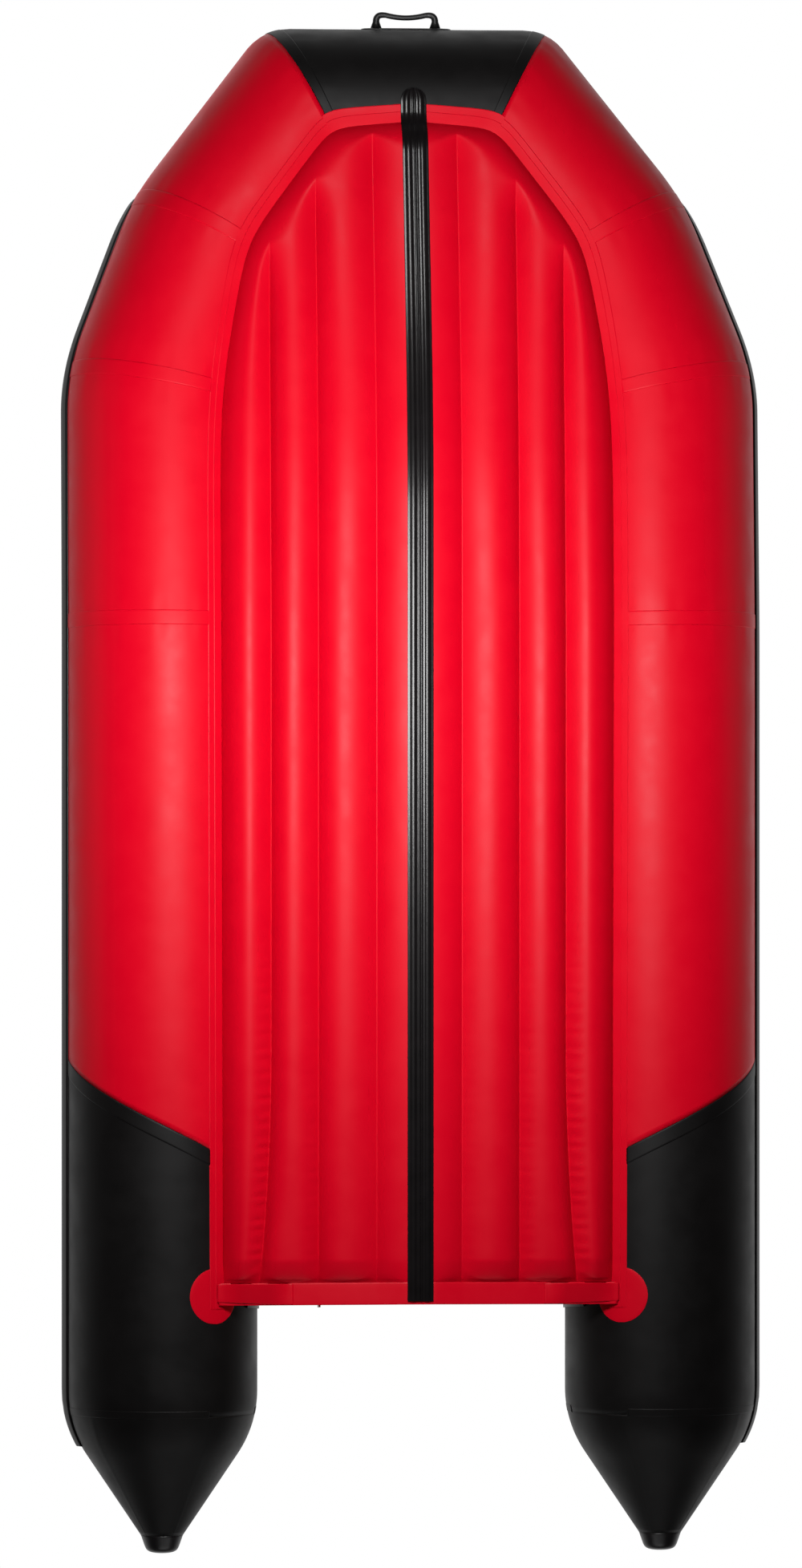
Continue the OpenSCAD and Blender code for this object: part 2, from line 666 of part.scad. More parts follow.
// Radius of the grip's bow over its half span and its dip
handle_x = handle_w / 2 - leg_r;
grip_dip = 5.5;
grip_bow = (handle_x * handle_x + grip_dip * grip_dip) / (2 * grip_dip);
grip_deg = asin(handle_x / grip_bow);

module bow_handle() {
    y0 = y_bow - 0.3 - handle_pad_t;
    y1 = y_bow - handle_reach + leg_r;
    color(black) {
        for (s = [-1, 1]) {
            rod([s * handle_x, y0, bow_c.z], [s * handle_x, y1, bow_c.z], leg_r - 0.8);
            rod([s * handle_x, y0, bow_c.z], [s * handle_x, y0 - 3, bow_c.z], 15);
            translate([s * handle_x, y1, bow_c.z]) rotate_extrude()
                polygon([[0, -leg_r], [leg_r - 2, -leg_r], [leg_r, 2 - leg_r], [leg_r, leg_r - 2],
                    [leg_r - 2, leg_r], [0, leg_r]]);
        }
        translate([0, y1 + grip_dip - grip_bow, bow_c.z]) rotate([0, 0, 90 - grip_deg])
            rotate_extrude(angle = 2 * grip_deg) translate([grip_bow, 0]) circle(r = grip_r);
    }
}

// Transom: board, holders, motor pads, rivets and drain
module on_board() translate([0, y_end, 0]) rotate([-transom_rake, 0, 0]) children();

rivet_x = pad_w / 2 - 20;
rivet_in = 0.55 * pad_t;
rivet_hole = 2.6;
rivet_sink = 6.3;
pad_top = transom_h - 14;
rivet_z = [pad_top - 20, pad_top - pad_inner_h + 20];
drain_x = -0.615 * (xs - r);
drain_z = 165;

module rivet_spots() for (x = [-rivet_x, 0, rivet_x]) for (z = rivet_z) translate([x, 0, z]) children();

module transom_board() {
    top_w = xs - r - 12;
    color(ply) difference() {
        on_board() translate([0, transom_t, 0]) rotate([90, 0, 0]) linear_extrude(transom_t)
            polygon(concat([for (x = board_x(end_row[0])) [x, board_z(x)]],
                [[end_row[0], zc], [top_w, zc + 20], [top_w, transom_h - 40], [top_w - 8, transom_h - 12],
                    [top_w - 36, transom_h], [-top_w + 36, transom_h], [-top_w + 8, transom_h - 12],
                    [-top_w, transom_h - 40], [-top_w, zc + 20], [-end_row[0], zc]]));
        core(4, r + board_gap);
        mirror([1, 0, 0]) core(4, r + board_gap);
        on_board() rivet_spots() translate([0, -1, 0]) rotate([-90, 0, 0])
            cylinder(r = rivet_hole, h = transom_t + 2);
        on_board() translate([drain_x, -1, drain_z]) rotate([-90, 0, 0])
            cylinder(d = drain_d + 0.4, h = transom_t + 2);
    }
}

// Holders: saddles on the tubes with a cheek on each face of the board
holder_fore = 56;
holder_aft = transom_t / 2;

module cheek(y) {
    difference() {
        intersection() {
            on_board() translate([xs - r - 50, y, 60]) cube([220, 5, zc + 70]);
            core(4, r + 48);
            slice(4, 66, 116, 0, cone_c.y - mid_c.y);
        }
        core(4, r + 2);
    }
}

module transom_holder() {
    intersection() {
        pipe(4, r + 0.3, r + board_gap - 0.7);
        slice(4, 58, 124, 0, cone_c.y - mid_c.y);
        on_board() translate([0, -holder_fore, 0]) cube([xs, holder_fore + transom_t + holder_aft, 2 * zc]);
    }
    cheek(-5.3);
    cheek(transom_t + 0.3);
}

module port_transom_holder() color(black) transom_holder();
module starboard_transom_holder() color(black) mirror([1, 0, 0]) transom_holder();

// Motor pads: plates with grip grooves on both faces of the board
module motor_pad(h, y, groove_y) {
    on_board() difference() {
        translate([0, y + pad_t, 0]) rotate([90, 0, 0]) linear_extrude(pad_t) polygon([
            [-pad_w / 2, pad_top - h + 12], [-pad_w / 2 + 12, pad_top - h], [pad_w / 2 - 12, pad_top - h],
            [pad_w / 2, pad_top - h + 12], [pad_w / 2, pad_top - 12], [pad_w / 2 - 12, pad_top],
            [-pad_w / 2 + 12, pad_top], [-pad_w / 2, pad_top - 12]]);
        rivet_spots() translate([0, y - 1, 0]) rotate([-90, 0, 0]) cylinder(r = rivet_hole, h = pad_t + 2);
        rivet_spots() translate([0, groove_y - rivet_in, 0]) rotate([-90, 0, 0])
            cylinder(r = rivet_sink, h = 2 * rivet_in);
        for (k = [-2:2]) translate([-pad_w / 2 + 34, groove_y - 0.6, pad_top - pad_inner_h / 2 + k * 9 - 1])
            cube([pad_w - 68, 1.2, 2]);
    }
}

module motor_pad_outer() color(grey) motor_pad(pad_outer_h, transom_t + 0.1, transom_t + 0.1 + pad_t);
module motor_pad_inner() color(grey) motor_pad(pad_inner_h, -pad_t - 0.1, -pad_t - 0.1);

module pad_rivets() {
    color(steel) on_board() rivet_spots() {
        translate([0, -pad_t + 1, 0]) rotate([-90, 0, 0]) cylinder(r = 2.5, h = transom_t + 2 * pad_t - 2);
        translate([0, -pad_t + 0.2, 0]) rotate([-90, 0, 0]) cylinder(r1 = 4.5, r2 = 6, h = rivet_in - 0.5);
        translate([0, transom_t + pad_t + 0.3 - rivet_in, 0]) rotate([-90, 0, 0])
            cylinder(r1 = 6, r2 = 4.5, h = rivet_in - 0.5);
    }
}

// Drain: a flanged barrel through the board and a plug with a pull tab
module drain_axis() on_board() translate([drain_x, 0, drain_z]) rotate([-90, 0, 0]) children();

module drain_body() {
    rb = drain_d / 2;
    color(black) drain_axis() rotate_extrude() polygon([
        [rb - 5, -6], [rb + 9, -6], [rb + 9, -0.1], [rb, -0.1], [rb, transom_t + 0.1],
        [rb + 12, transom_t + 0.1], [rb + 11, transom_t + 4], [rb - 5, transom_t + 4]]);
}

module drain_plug() {
    rb = drain_d / 2;
    color(red) drain_axis() {
        rotate_extrude() polygon([[0, transom_t - 14], [rb - 6.2, transom_t - 14],
            [rb - 5.3, transom_t - 11], [rb - 5.3, transom_t + 4.3], [rb + 6, transom_t + 4.3],
            [rb + 6, transom_t + 8], [0, transom_t + 8]]);
        translate([-2, -rb, transom_t + 7]) cube([4, 2 * rb, 6]);
    }
}

// Seat tracks: beaded rails on the tubes' inner sides
track_a = 130;
track_y0 = y_bow + mid_seam + 48;
bead_r = bead_d / 2;
bead_h = 16;

module track_frame(z) along(4) translate([0, 0, z]) rotate([0, 0, track_a]) mirror([0, 1, 0]) children();

module seat_track() {
    difference() {
        track_frame(track_y0 - mid_c.y) union() {
            linear_extrude(track_len) polygon([[-20, r - 3], [20, r - 3], [20, r + 1.2], [6, r + 3.5],
                [2, r + 5], [2, r + bead_h], [-2, r + bead_h], [-2, r + 5], [-6, r + 3.5], [-20, r + 1.2]]);
            translate([0, r + bead_h, 0]) cylinder(r = bead_r, h = track_len);
        }
        core(4, r + 0.2);
    }
}

module port_seat_track() color(black) seat_track();
module starboard_seat_track() color(black) mirror([1, 0, 0]) seat_track();

// Thwarts: boards whose end sliders ride the beads
fore_y = track_y0 + 170;
aft_y = track_y0 + track_len - 210;
bead_x = xs - (r + bead_h) * sin(track_a);
bead_z = zc - (r + bead_h) * cos(track_a);
seat_z = bead_z + bead_r + 9;
slider_len = 50;

module slider(y) {
    tilt = 180 - track_a;
    translate([0, y + slider_len / 2, 0]) rotate([90, 0, 0]) linear_extrude(slider_len) difference() {
        union() {
            translate([bead_x, bead_z]) circle(r = bead_r + 4.5);
            translate([bead_x - 40, bead_z + bead_r + 1]) square([48, 8 - 0.1]);
            translate([bead_x - bead_r - 4, bead_z]) square([2 * bead_r + 7, bead_r + 3]);
        }
        translate([bead_x, bead_z]) circle(r = bead_r + slide_gap);
        translate([bead_x, bead_z]) rotate(tilt) translate([-2.6 - slide_gap / 2, -30])
            square([5.2 + slide_gap, 30]);
    }
}

module sliders(y) {
    for (d = [-0.3, 0.3]) {
        slider(y + d * thwart_w);
        mirror([1, 0, 0]) slider(y + d * thwart_w);
    }
}

module thwart(y) {
    x = bead_x + 10;
    w = thwart_w / 2;
    translate([0, y, seat_z]) linear_extrude(thwart_t) polygon([
        [-x, -w + 24], [-x + 8, -w + 8], [-x + 24, -w], [x - 24, -w], [x - 8, -w + 8], [x, -w + 24],
        [x, w - 24], [x - 8, w - 8], [x - 24, w], [-x + 24, w], [-x + 8, w - 8], [-x, w - 24]]);
}

module thwart_fore() color(ply) thwart(fore_y);
module thwart_fore_sliders() color(black) sliders(fore_y);
module thwart_aft() color(ply) thwart(aft_y);
module thwart_aft_sliders() color(black) sliders(aft_y);

// Rowlocks: moulded bases on the tubes and swivels with a bore for the oar
lock_x = xs - 28;
lock_y = track_y0 + 470;
lock_z = zc + r + 28;
lock_depth = 24;
pin_r = pin_d / 2;

module lock_base() {
    difference() {
        union() {
            intersection() {
                pipe(4, r + 0.2, r + 4.2);
                translate([lock_x, lock_y, zc + 60]) cylinder(r = 58, h = r);
            }
            translate([lock_x, lock_y, zc + r - 8]) cylinder(r1 = 36, r2 = 22, h = 36);
        }
        core(4, r + 0.2);
        translate([lock_x, lock_y, lock_z - lock_depth]) cylinder(r = pin_r + pin_gap, h = lock_depth + 10);
    }
}

module rowlock_bases() {
    color(black) lock_base();
    color(black) mirror([1, 0, 0]) lock_base();
}

module rowlock() {
    ring_r = oar_d / 2 + 6;
    zb = lock_z + 7 + ring_r;
    difference() {
        union() {
            translate([lock_x, lock_y, lock_z - lock_depth + 1]) cylinder(r = pin_r, h = lock_depth + 4);
            translate([lock_x, lock_y, lock_z + 0.4]) cylinder(r = 21, h = 5);
            translate([lock_x - 14, lock_y - 12, lock_z + 4]) cube([28, 24, 16]);
            translate([lock_x - oar_len / 2, lock_y, zb]) rotate([0, 90, 0])
                cylinder(r = ring_r, h = oar_len);
        }
        translate([lock_x - oar_len, lock_y, zb]) rotate([0, 90, 0]) cylinder(d = oar_d, h = 2 * oar_len);
    }
}

module port_rowlock() color(black) rowlock();
module starboard_rowlock() color(black) mirror([1, 0, 0]) rowlock();

// Air valves: flanged bodies with a guide, a sprung stem and a twist cap
rb = valve_d / 2;
stem_r = 3;
guide_z = -valve_travel - 8;
seat_d = guide_z - 12;

module bow_valve() on_skin(0, 0, valve_a) children();
module port_valve() on_skin(4, valve_y - mid_c.y, valve_a) children();
module starboard_valve() mirror([1, 0, 0]) port_valve() children();
module floor_valve() translate([floor_valve_x, floor_valve_y, floor_valve_z + 0.2]) children();

module valve_body(curved) {
    difference() {
        translate([0, 0, curved ? -4 : 0]) cylinder(d = flange_d, h = curved ? 7.5 : 3.5);
        translate([0, 0, -6]) cylinder(r = rb - 1, h = 12);
        if (curved) translate([0, flange_d, -r]) rotate([90, 0, 0]) cylinder(r = r + 0.15, h = 2 * flange_d);
    }
    rotate_extrude() polygon([[12, seat_d], [rb, seat_d], [rb, 3.5], [15, 3.5], [15, seat_d + 3],
        [12, seat_d + 3]]);
    difference() {
        union() {
            translate([0, 0, guide_z]) cylinder(r = 6, h = 3);
            for (a = [0, 120, 240]) rotate([0, 0, a]) translate([4, -1.5, guide_z]) cube([12, 3, 3]);
        }
        translate([0, 0, guide_z - 1]) cylinder(r = stem_r + stem_gap, h = 5);
    }
}

module valve_stem() {
    translate([0, 0, seat_d - 3.5]) cylinder(r = 14, h = 3.1);
    translate([0, 0, seat_d - 1]) cylinder(r = stem_r, h = 2 - seat_d);
    cylinder(r = 6, h = 2.6);
}

module valve_spring() {
    turns = 3;
    per = 8;
    n = turns * per;
    z0 = guide_z + 3 + 0.8;
    z1 = -0.8;
    bar([for (i = [0:n]) let(a = 360 * i / per, z = mix(z0, z1, i / n)) [for (k = [0:4])
        [(4.4 + 0.6 * cos(72 * k)) * cos(a), (4.4 + 0.6 * cos(72 * k)) * sin(a), z + 0.6 * sin(72 * k)]]]);
}

module valve_cap() {
    difference() {
        translate([0, 0, 3.9]) cylinder(r1 = 27, r2 = 25, h = 5);
        translate([0, 0, 2.9]) cylinder(r = 13, h = 3.5);
    }
    difference() {
        translate([0, 0, -1.5]) cylinder(r = 14.5, h = 6.5);
        translate([0, 0, -2.5]) cylinder(r = 12, h = 9);
    }
    translate([-cap_grip / 2, -2.5, 8]) cube([cap_grip, 5, 6]);
}

module valve_bodies() {
    color(black) bow_valve() valve_body(true);
    color(black) port_valve() valve_body(true);
    color(black) starboard_valve() valve_body(true);
    color(black) floor_valve() valve_body(false);
}

module valve_springs() {
    color(steel) bow_valve() valve_spring();
    color(steel) port_valve() valve_spring();
    color(steel) starboard_valve() valve_spring();
    color(steel) floor_valve() valve_spring();
}

module bow_valve_stem() color(grey) bow_valve() valve_stem();
module port_valve_stem() color(grey) port_valve() valve_stem();
module starboard_valve_stem() color(grey) starboard_valve() valve_stem();
module floor_valve_stem() color(grey) floor_valve() valve_stem();
module bow_valve_cap() color(black) bow_valve() valve_cap();
module port_valve_cap() color(black) port_valve() valve_cap();
module starboard_valve_cap() color(black) starboard_valve() valve_cap();
module floor_valve_cap() color(black) floor_valve() valve_cap();

bow_tube();
port_forward_tube();
starboard_forward_tube();
port_shoulder_tube();
starboard_shoulder_tube();
port_fore_side_tube();
starboard_fore_side_tube();
port_aft_side_tube();
starboard_aft_side_tube();
port_stern_tube();
starboard_stern_tube();
port_stern_cone();
starboard_stern_cone();
cone_tips();
chamber_walls();
port_seam_tapes();
starboard_seam_tapes();
black_seam_tapes();
floor_lower_skin();
floor_upper_skin();
floor_webs();
keel_strip();
port_floor_tape();
starboard_floor_tape();
bow_floor_tape();
transom_tape();
corner_patches();
port_rub_strake();
starboard_rub_strake();
bow_handle_pad();
bow_handle();
transom_board();
port_transom_holder();
starboard_transom_holder();
motor_pad_outer();
motor_pad_inner();
pad_rivets();
drain_body();
drain_plug();
port_seat_track();
starboard_seat_track();
thwart_fore();
thwart_fore_sliders();
thwart_aft();
thwart_aft_sliders();
rowlock_bases();
port_rowlock();
starboard_rowlock();
valve_bodies();
valve_springs();
bow_valve_stem();
port_valve_stem();
starboard_valve_stem();
floor_valve_stem();
bow_valve_cap();
port_valve_cap();
starboard_valve_cap();
floor_valve_cap();
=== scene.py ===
# %% [markdown]
# # An inflatable motor dinghy, seen from below
# The boat is glued from coated fabric: a ring of fat air tubes, an air floor with seven long chambers
# and a ribbed keel strip. Most rigid fittings come from the CAD frame. Everything that is soft is worked
# out here as a surface on the same tube path, so that each seam, tape and strake lies on its tube.

# %% Load the frame
import json
import math
import bpy
import numpy as np
from mathutils import Matrix


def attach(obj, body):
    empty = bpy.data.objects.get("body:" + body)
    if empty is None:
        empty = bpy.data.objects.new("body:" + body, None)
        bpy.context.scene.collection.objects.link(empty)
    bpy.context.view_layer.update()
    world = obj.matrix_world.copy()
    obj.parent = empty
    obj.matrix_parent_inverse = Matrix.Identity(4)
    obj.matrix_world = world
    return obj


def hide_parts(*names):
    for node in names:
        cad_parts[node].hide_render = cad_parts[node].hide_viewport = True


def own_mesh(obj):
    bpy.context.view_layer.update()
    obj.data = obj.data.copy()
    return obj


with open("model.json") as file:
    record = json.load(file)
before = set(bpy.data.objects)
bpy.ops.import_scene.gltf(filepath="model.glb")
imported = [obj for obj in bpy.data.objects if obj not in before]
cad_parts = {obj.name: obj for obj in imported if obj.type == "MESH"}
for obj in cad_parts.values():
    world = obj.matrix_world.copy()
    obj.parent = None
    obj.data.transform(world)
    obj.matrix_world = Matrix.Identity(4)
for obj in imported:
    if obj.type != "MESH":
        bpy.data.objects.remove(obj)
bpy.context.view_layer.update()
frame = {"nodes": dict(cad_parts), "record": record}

# %% [markdown]
# ## Camera
# The photograph looks straight up at the boat's underside through a long lens, leaning a few degrees to
# one side. A camera far away with a long lens keeps the tubes parallel, as in the photograph.

# %% Camera
def unit(v):
    """Each vector divided by its own length."""
    return v / np.linalg.norm(v, axis=-1, keepdims=True)


def add_object(name, data):
    """A new object that is linked into the scene."""
    obj = bpy.data.objects.new(name, data)
    bpy.context.scene.collection.objects.link(obj)
    return obj


def axes_at(x, y, z, place):
    """Matrix of an object at a place, with its own axes along x, y and z."""
    m = np.eye(4)
    m[:3] = np.stack([x, y, z, place], axis=1)
    return Matrix(m)


LEAN = 0.083            # sideways run of the line of sight for each metre of depth
DISTANCE = 20.0         # metres from the boat's widest level to the camera
FRAME_HEIGHT = 3.296    # metres at that level that fill the picture's height
SENSOR = 36.0           # millimetres along the picture's longer side
aim = np.array([-0.022, 0.0104, 0.23])
eye = aim + DISTANCE * np.array([-LEAN, 0.0, -1.0])
ahead = unit(aim - eye)
right = unit(np.cross(ahead, [0.0, -1.0, 0.0]))
camera = add_object("camera", bpy.data.cameras.new("camera"))
camera.data.sensor_width = SENSOR
camera.data.lens = SENSOR * np.linalg.norm(aim - eye) / FRAME_HEIGHT
camera.data.clip_end = 1000.0
camera.matrix_world = axes_at(right, np.cross(right, ahead), -ahead, eye)
bpy.context.scene.camera = camera
print("lens", round(camera.data.lens, 1), "mm")

# %% [markdown]
# ## The tube path
# One line runs down the middle of the tubes: from the middle of the bow through four mitred bends to the
# stern cone. It has the same corner points as the solids. A place on the tube's skin is then three
# numbers: the distance along the path, the angle round the tube and the distance from its middle line.

# %% Tube path
MM = 0.001
TUBE = 200 * MM                   # radius of the air tubes
FABRIC = 1.0 * MM
TAPE = 0.8 * MM
path = np.array([[0.0, -1386.5, 380.0], [205.0, -1386.5, 380.0], [408.935, -1120.727, 320.0],
                 [525.0, -818.367, 270.0], [525.0, -328.5, 230.0], [525.0, 1327.5, 230.0]]) * MM
length = np.linalg.norm(np.diff(path, axis=0), axis=1)
knot = np.concatenate([[0.0], np.cumsum(length)])
way = unit(np.diff(path, axis=0))
mitre = np.vstack([[1.0, 0.0, 0.0], unit(way[:-1] + way[1:]), [0.0, 1.0, 0.0]])
under = unit(np.array([0.0, 0.0, -1.0]) + way[:, 2:3] * way)
inside = np.cross(way, under)
CONE_BEND, CONE_ANGLE = 240 * MM, math.radians(33.9)
CONE_LENGTH, TIP_LENGTH = 296 * MM, 38 * MM
CONE_LEAD = 47 * MM               # the bend starts this far before the cone's seam
BEND_ROUND = np.array([0.0, 40.0, 65.0, 80.0, 60.0, 0.0]) * MM    # half length of each rounded mitre
print("path", np.round(knot, 3))

# %% [markdown]
# A line of one angle runs straight to each mitre plane and goes on mirrored behind it. Glued fabric under
# pressure has no sharp bend, so a short curve then rounds off each mitre.

# %% Places on the tube
def ramp(t):
    """Zero below 0, one above 1, and straight between."""
    return np.clip(t, 0.0, 1.0)


def spoke(i, angle):
    """Direction from the middle line of segment i: sine times inward plus cosine times downward."""
    a = np.radians(angle)[..., None]
    return np.sin(a) * inside[i] + np.cos(a) * under[i]


def local_angles(angle):
    """Angle on each segment of the line that has this angle on the side tube. The spoke is mirrored back
    at each mitre plane, and its sideways and downward shares give the angle."""
    rows = [np.asarray(angle, float)]
    for i in (3, 2, 1, 0):
        v = spoke(i + 1, rows[0])
        q = v - 2 * (v @ mitre[i + 1])[..., None] * mitre[i + 1]
        rows.insert(0, np.degrees(np.arctan2(q @ inside[i], q @ under[i])))
    return rows


def cone_drop(z):
    """How far the stern cone's skin has come in at a distance z past its seam: an arc that starts a lead
    before the seam, then a straight taper."""
    z = np.maximum(z + CONE_LEAD, 0.0)
    turn_z = CONE_BEND * math.sin(CONE_ANGLE)
    arc = CONE_BEND - np.sqrt(np.maximum(CONE_BEND ** 2 - np.minimum(z, turn_z) ** 2, 0.0))
    return arc + np.maximum(z - turn_z, 0.0) * math.tan(CONE_ANGLE)


def on_tube(distance, angle, radius=TUBE):
    """Points on the port tube. Each line of one angle is a row of straight runs between the mitre planes;
    near a mitre a quadratic curve rounds it off; at the stern the radius follows the cone."""
    d, a, r = (x.astype(float) for x in np.broadcast_arrays(distance, angle, radius))
    turns = local_angles(a)
    corner = []
    for i in range(6):
        j = min(i, 4)
        v = spoke(j, turns[j]) * r[..., None]
        corner.append(path[i] + v - way[j] * ((v @ mitre[i]) / (way[j] @ mitre[i]))[..., None])
    corner = np.array(corner)
    seg = np.clip(np.searchsorted(knot, d, side="right") - 1, 0, 4)
    share = np.minimum((d - knot[seg]) / length[seg], 1.0)[..., None]
    pick = np.indices(d.shape)
    start, end = corner[(seg, *pick)], corner[(seg + 1, *pick)]
    points = start + (end - start) * share
    for i in range(1, 5):
        w = BEND_ROUND[i]
        q = ramp((d - knot[i] + w) / (2 * w))[..., None]
        p0 = corner[i] + (corner[i - 1] - corner[i]) * (w / length[i - 1])
        p1 = corner[i] + (corner[i + 1] - corner[i]) * (w / length[i])
        bent = (1 - q) ** 2 * p0 + 2 * q * (1 - q) * corner[i] + q ** 2 * p1
        points = np.where((np.abs(d - knot[i]) < w)[..., None], bent, points)
    z = d - knot[5]
    along = np.array([0.0, 1.0, 0.0]) * z[..., None]
    cone = path[5] + spoke(4, a) * (r - cone_drop(z))[..., None] + along
    return np.where((z > -CONE_LEAD)[..., None], cone, points)


print("cone narrows by", round(float(cone_drop(CONE_LENGTH)) / MM), "mm")

# %% [markdown]
# ## From arrays to pieces
# Every form made here is a grid of points. A helper joins neighbours into faces, closes the grid round its
# ring if asked, caps its ends, turns the faces outward or toward a given side, and writes a UV map in
# metres, so that a weave keeps its real size everywhere.

# %% Surfaces
MIRROR = np.array([-1.0, 1.0, 1.0])


def mirrored(half, flip=1.0):
    """A half with its mirror image set before it, times flip; the middle is kept once."""
    half = np.asarray(half, float)
    return np.concatenate([half[:0:-1] * flip, half])


def spaced(*parts):
    """Evenly spaced values in several parts, each given by its first and last value and their number."""
    return np.concatenate([np.linspace(*part) for part in parts])


def circle(n):
    """Angles of n points round a circle."""
    return np.linspace(0, 2 * math.pi, n, endpoint=False)


def run(points, axis):
    """Mean running length along one axis of a grid, in metres."""
    steps = np.linalg.norm(np.diff(points, axis=axis), axis=-1).mean(axis=1 - axis)
    return np.concatenate([[0.0], np.cumsum(steps)])


def surface(name, points, ring=False, caps=0, facing=None):
    """Mesh object over a grid of points (n rows of m); caps closes no end, the first ring or both."""
    n, m = points.shape[:2]
    closed = np.concatenate([points, points[:, :1]], axis=1) if ring else points
    cells = np.meshgrid(np.arange(n - 1), np.arange(closed.shape[1] - 1), indexing="ij")
    i, j = (k.ravel() for k in cells)
    round_face = (i, j), (i, j + 1), (i + 1, j + 1), (i + 1, j)
    quads = np.stack([a * m + b % m for a, b in round_face], axis=1)
    u, v = run(closed, 0), run(closed, 1)
    uv = np.stack([np.stack([u[a], v[b]], -1) for a, b in round_face], axis=1)
    flat = points.reshape(-1, 3)
    p = flat[quads]
    normal = np.cross(p[:, 2] - p[:, 0], p[:, 3] - p[:, 1])
    sign = (normal @ np.asarray(facing)).sum() if facing is not None else (
        normal * (p.mean(axis=1) - flat.mean(axis=0))).sum()
    if sign < 0:
        quads, uv = quads[:, ::-1], uv[:, ::-1]
    faces = quads.tolist()
    if caps:
        ends = [list(range(m))[::-1], list(range((n - 1) * m, n * m))][:caps]
        faces += [f[::-1] for f in ends] if sign < 0 else ends
    mesh = bpy.data.meshes.new(name)
    mesh.from_pydata(flat.tolist(), [], faces)
    layer = mesh.uv_layers.new(name="UVMap")
    all_uv = np.zeros((len(mesh.loops), 2))
    all_uv[:len(quads) * 4] = uv.reshape(-1, 2)
    layer.data.foreach_set("uv", all_uv.ravel())
    mesh.polygons.foreach_set("use_smooth", np.ones(len(faces), bool))
    return add_object(name, mesh)


# %% [markdown]
# A piece is such a surface with its finish and, where it is a sheet, a wall. It rides on the hull, has a
# material slot and stands for nodes of the CAD frame. Most pieces come in pairs.

# %% Pieces
def piece(name, points, slot, stands_for=(), wall=0.0, sharp=None, own_finish=None, **shape):
    """A surface that rides on the hull, with its slot's finish or its own, its CAD nodes and a wall
    thickness inward."""
    obj = surface(name, points, **shape)
    obj.data.materials.append(own_finish or finishes[slot])
    if sharp:
        obj.data.set_sharp_from_angle(angle=math.radians(sharp))
    if wall:
        shell = obj.modifiers.new("wall", "SOLIDIFY")
        shell.thickness, shell.offset = wall, -1.0
    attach(obj, "hull")
    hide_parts(*stands_for)
    return obj


def both_sides(name, points, slot, nodes=("{}",), **shape):
    """The same piece on the port side and mirrored to starboard; {} in a node's name becomes the name
    of the piece."""
    for side, flip in (("port_", 1.0), ("starboard_", MIRROR)):
        names = [n.format(side + name) for n in nodes]
        piece(f"{side}{name}_skin", points * flip, slot, names, **shape)
    print(name, points.shape[0] * points.shape[1], "points a side")


# %% [markdown]
# ## Finishes
# Almost everything is PVC: a woven polyester base with a smooth coat. The coat is satin, the weave only
# just prints through, and the colour is even, with a faint cloudiness from handling. Colours are sRGB
# values that one function turns to linear.

# %% Node helpers
def linear(code):
    """sRGB hex to linear: a short straight piece near black, then a power of 2.4."""
    s = np.array([int(code[k:k + 2], 16) / 255 for k in (1, 3, 5)])
    return (*np.where(s <= 0.04045, s / 12.92, ((s + 0.055) / 1.055) ** 2.4), 1.0)


def add(tree, kind, sockets=None, **settings):
    """One node: settings are its properties; a socket takes a value, an output, or a node whose first
    output in use feeds it."""
    node = tree.nodes.new("ShaderNode" + kind)
    for key, value in settings.items():
        setattr(node, key, value)
    for key, value in (sockets or {}).items():
        if isinstance(value, bpy.types.Node):
            value = next(out for out in value.outputs if out.enabled)
        if isinstance(value, bpy.types.NodeSocket):
            tree.links.new(value, node.inputs[key])
        else:
            node.inputs[key].default_value = value
    return node


def finish(name, roughness, ior=1.5, metallic=0.0, specular=0.5, coat=0.0):
    """A new Principled material with its constants set on the sockets."""
    mat = bpy.data.materials.new(name)
    mat.use_nodes = True
    shader = mat.node_tree.nodes["Principled BSDF"]
    for socket, value in (("Roughness", roughness), ("IOR", ior), ("Metallic", metallic),
                          ("Specular IOR Level", specular), ("Coat Weight", coat)):
        shader.inputs[socket].default_value = value
    return mat, mat.node_tree, shader


def clouded(name, colour, worn, size, detail, *constants, **more):
    """A finish whose base colour goes from a colour to its worn shade in clouds of one size."""
    mat, tree, shader = finish(name, *constants, **more)
    place = add(tree, "TexCoord").outputs
    cloud = add(tree, "TexNoise", {"Vector": place["Object"], "Scale": 1 / size, "Detail": detail})
    tint = add(tree, "Mix", {"Factor": cloud, "A": linear(colour), "B": linear(worn)}, data_type="RGBA")
    tree.links.new(tint.outputs["Result"], shader.inputs["Base Color"])
    return mat, tree, shader, place, cloud


# %% [markdown]
# The coated fabric has three scales of detail. Threads of about 1.2 mm print through the coat; they are
# drawn at 3 mm, because finer ones would not show. Handling leaves clouds about 60 mm wide in the gloss.
# The sheet is not perfectly flat either: soft dents some 90 mm across bend the highlights a little.

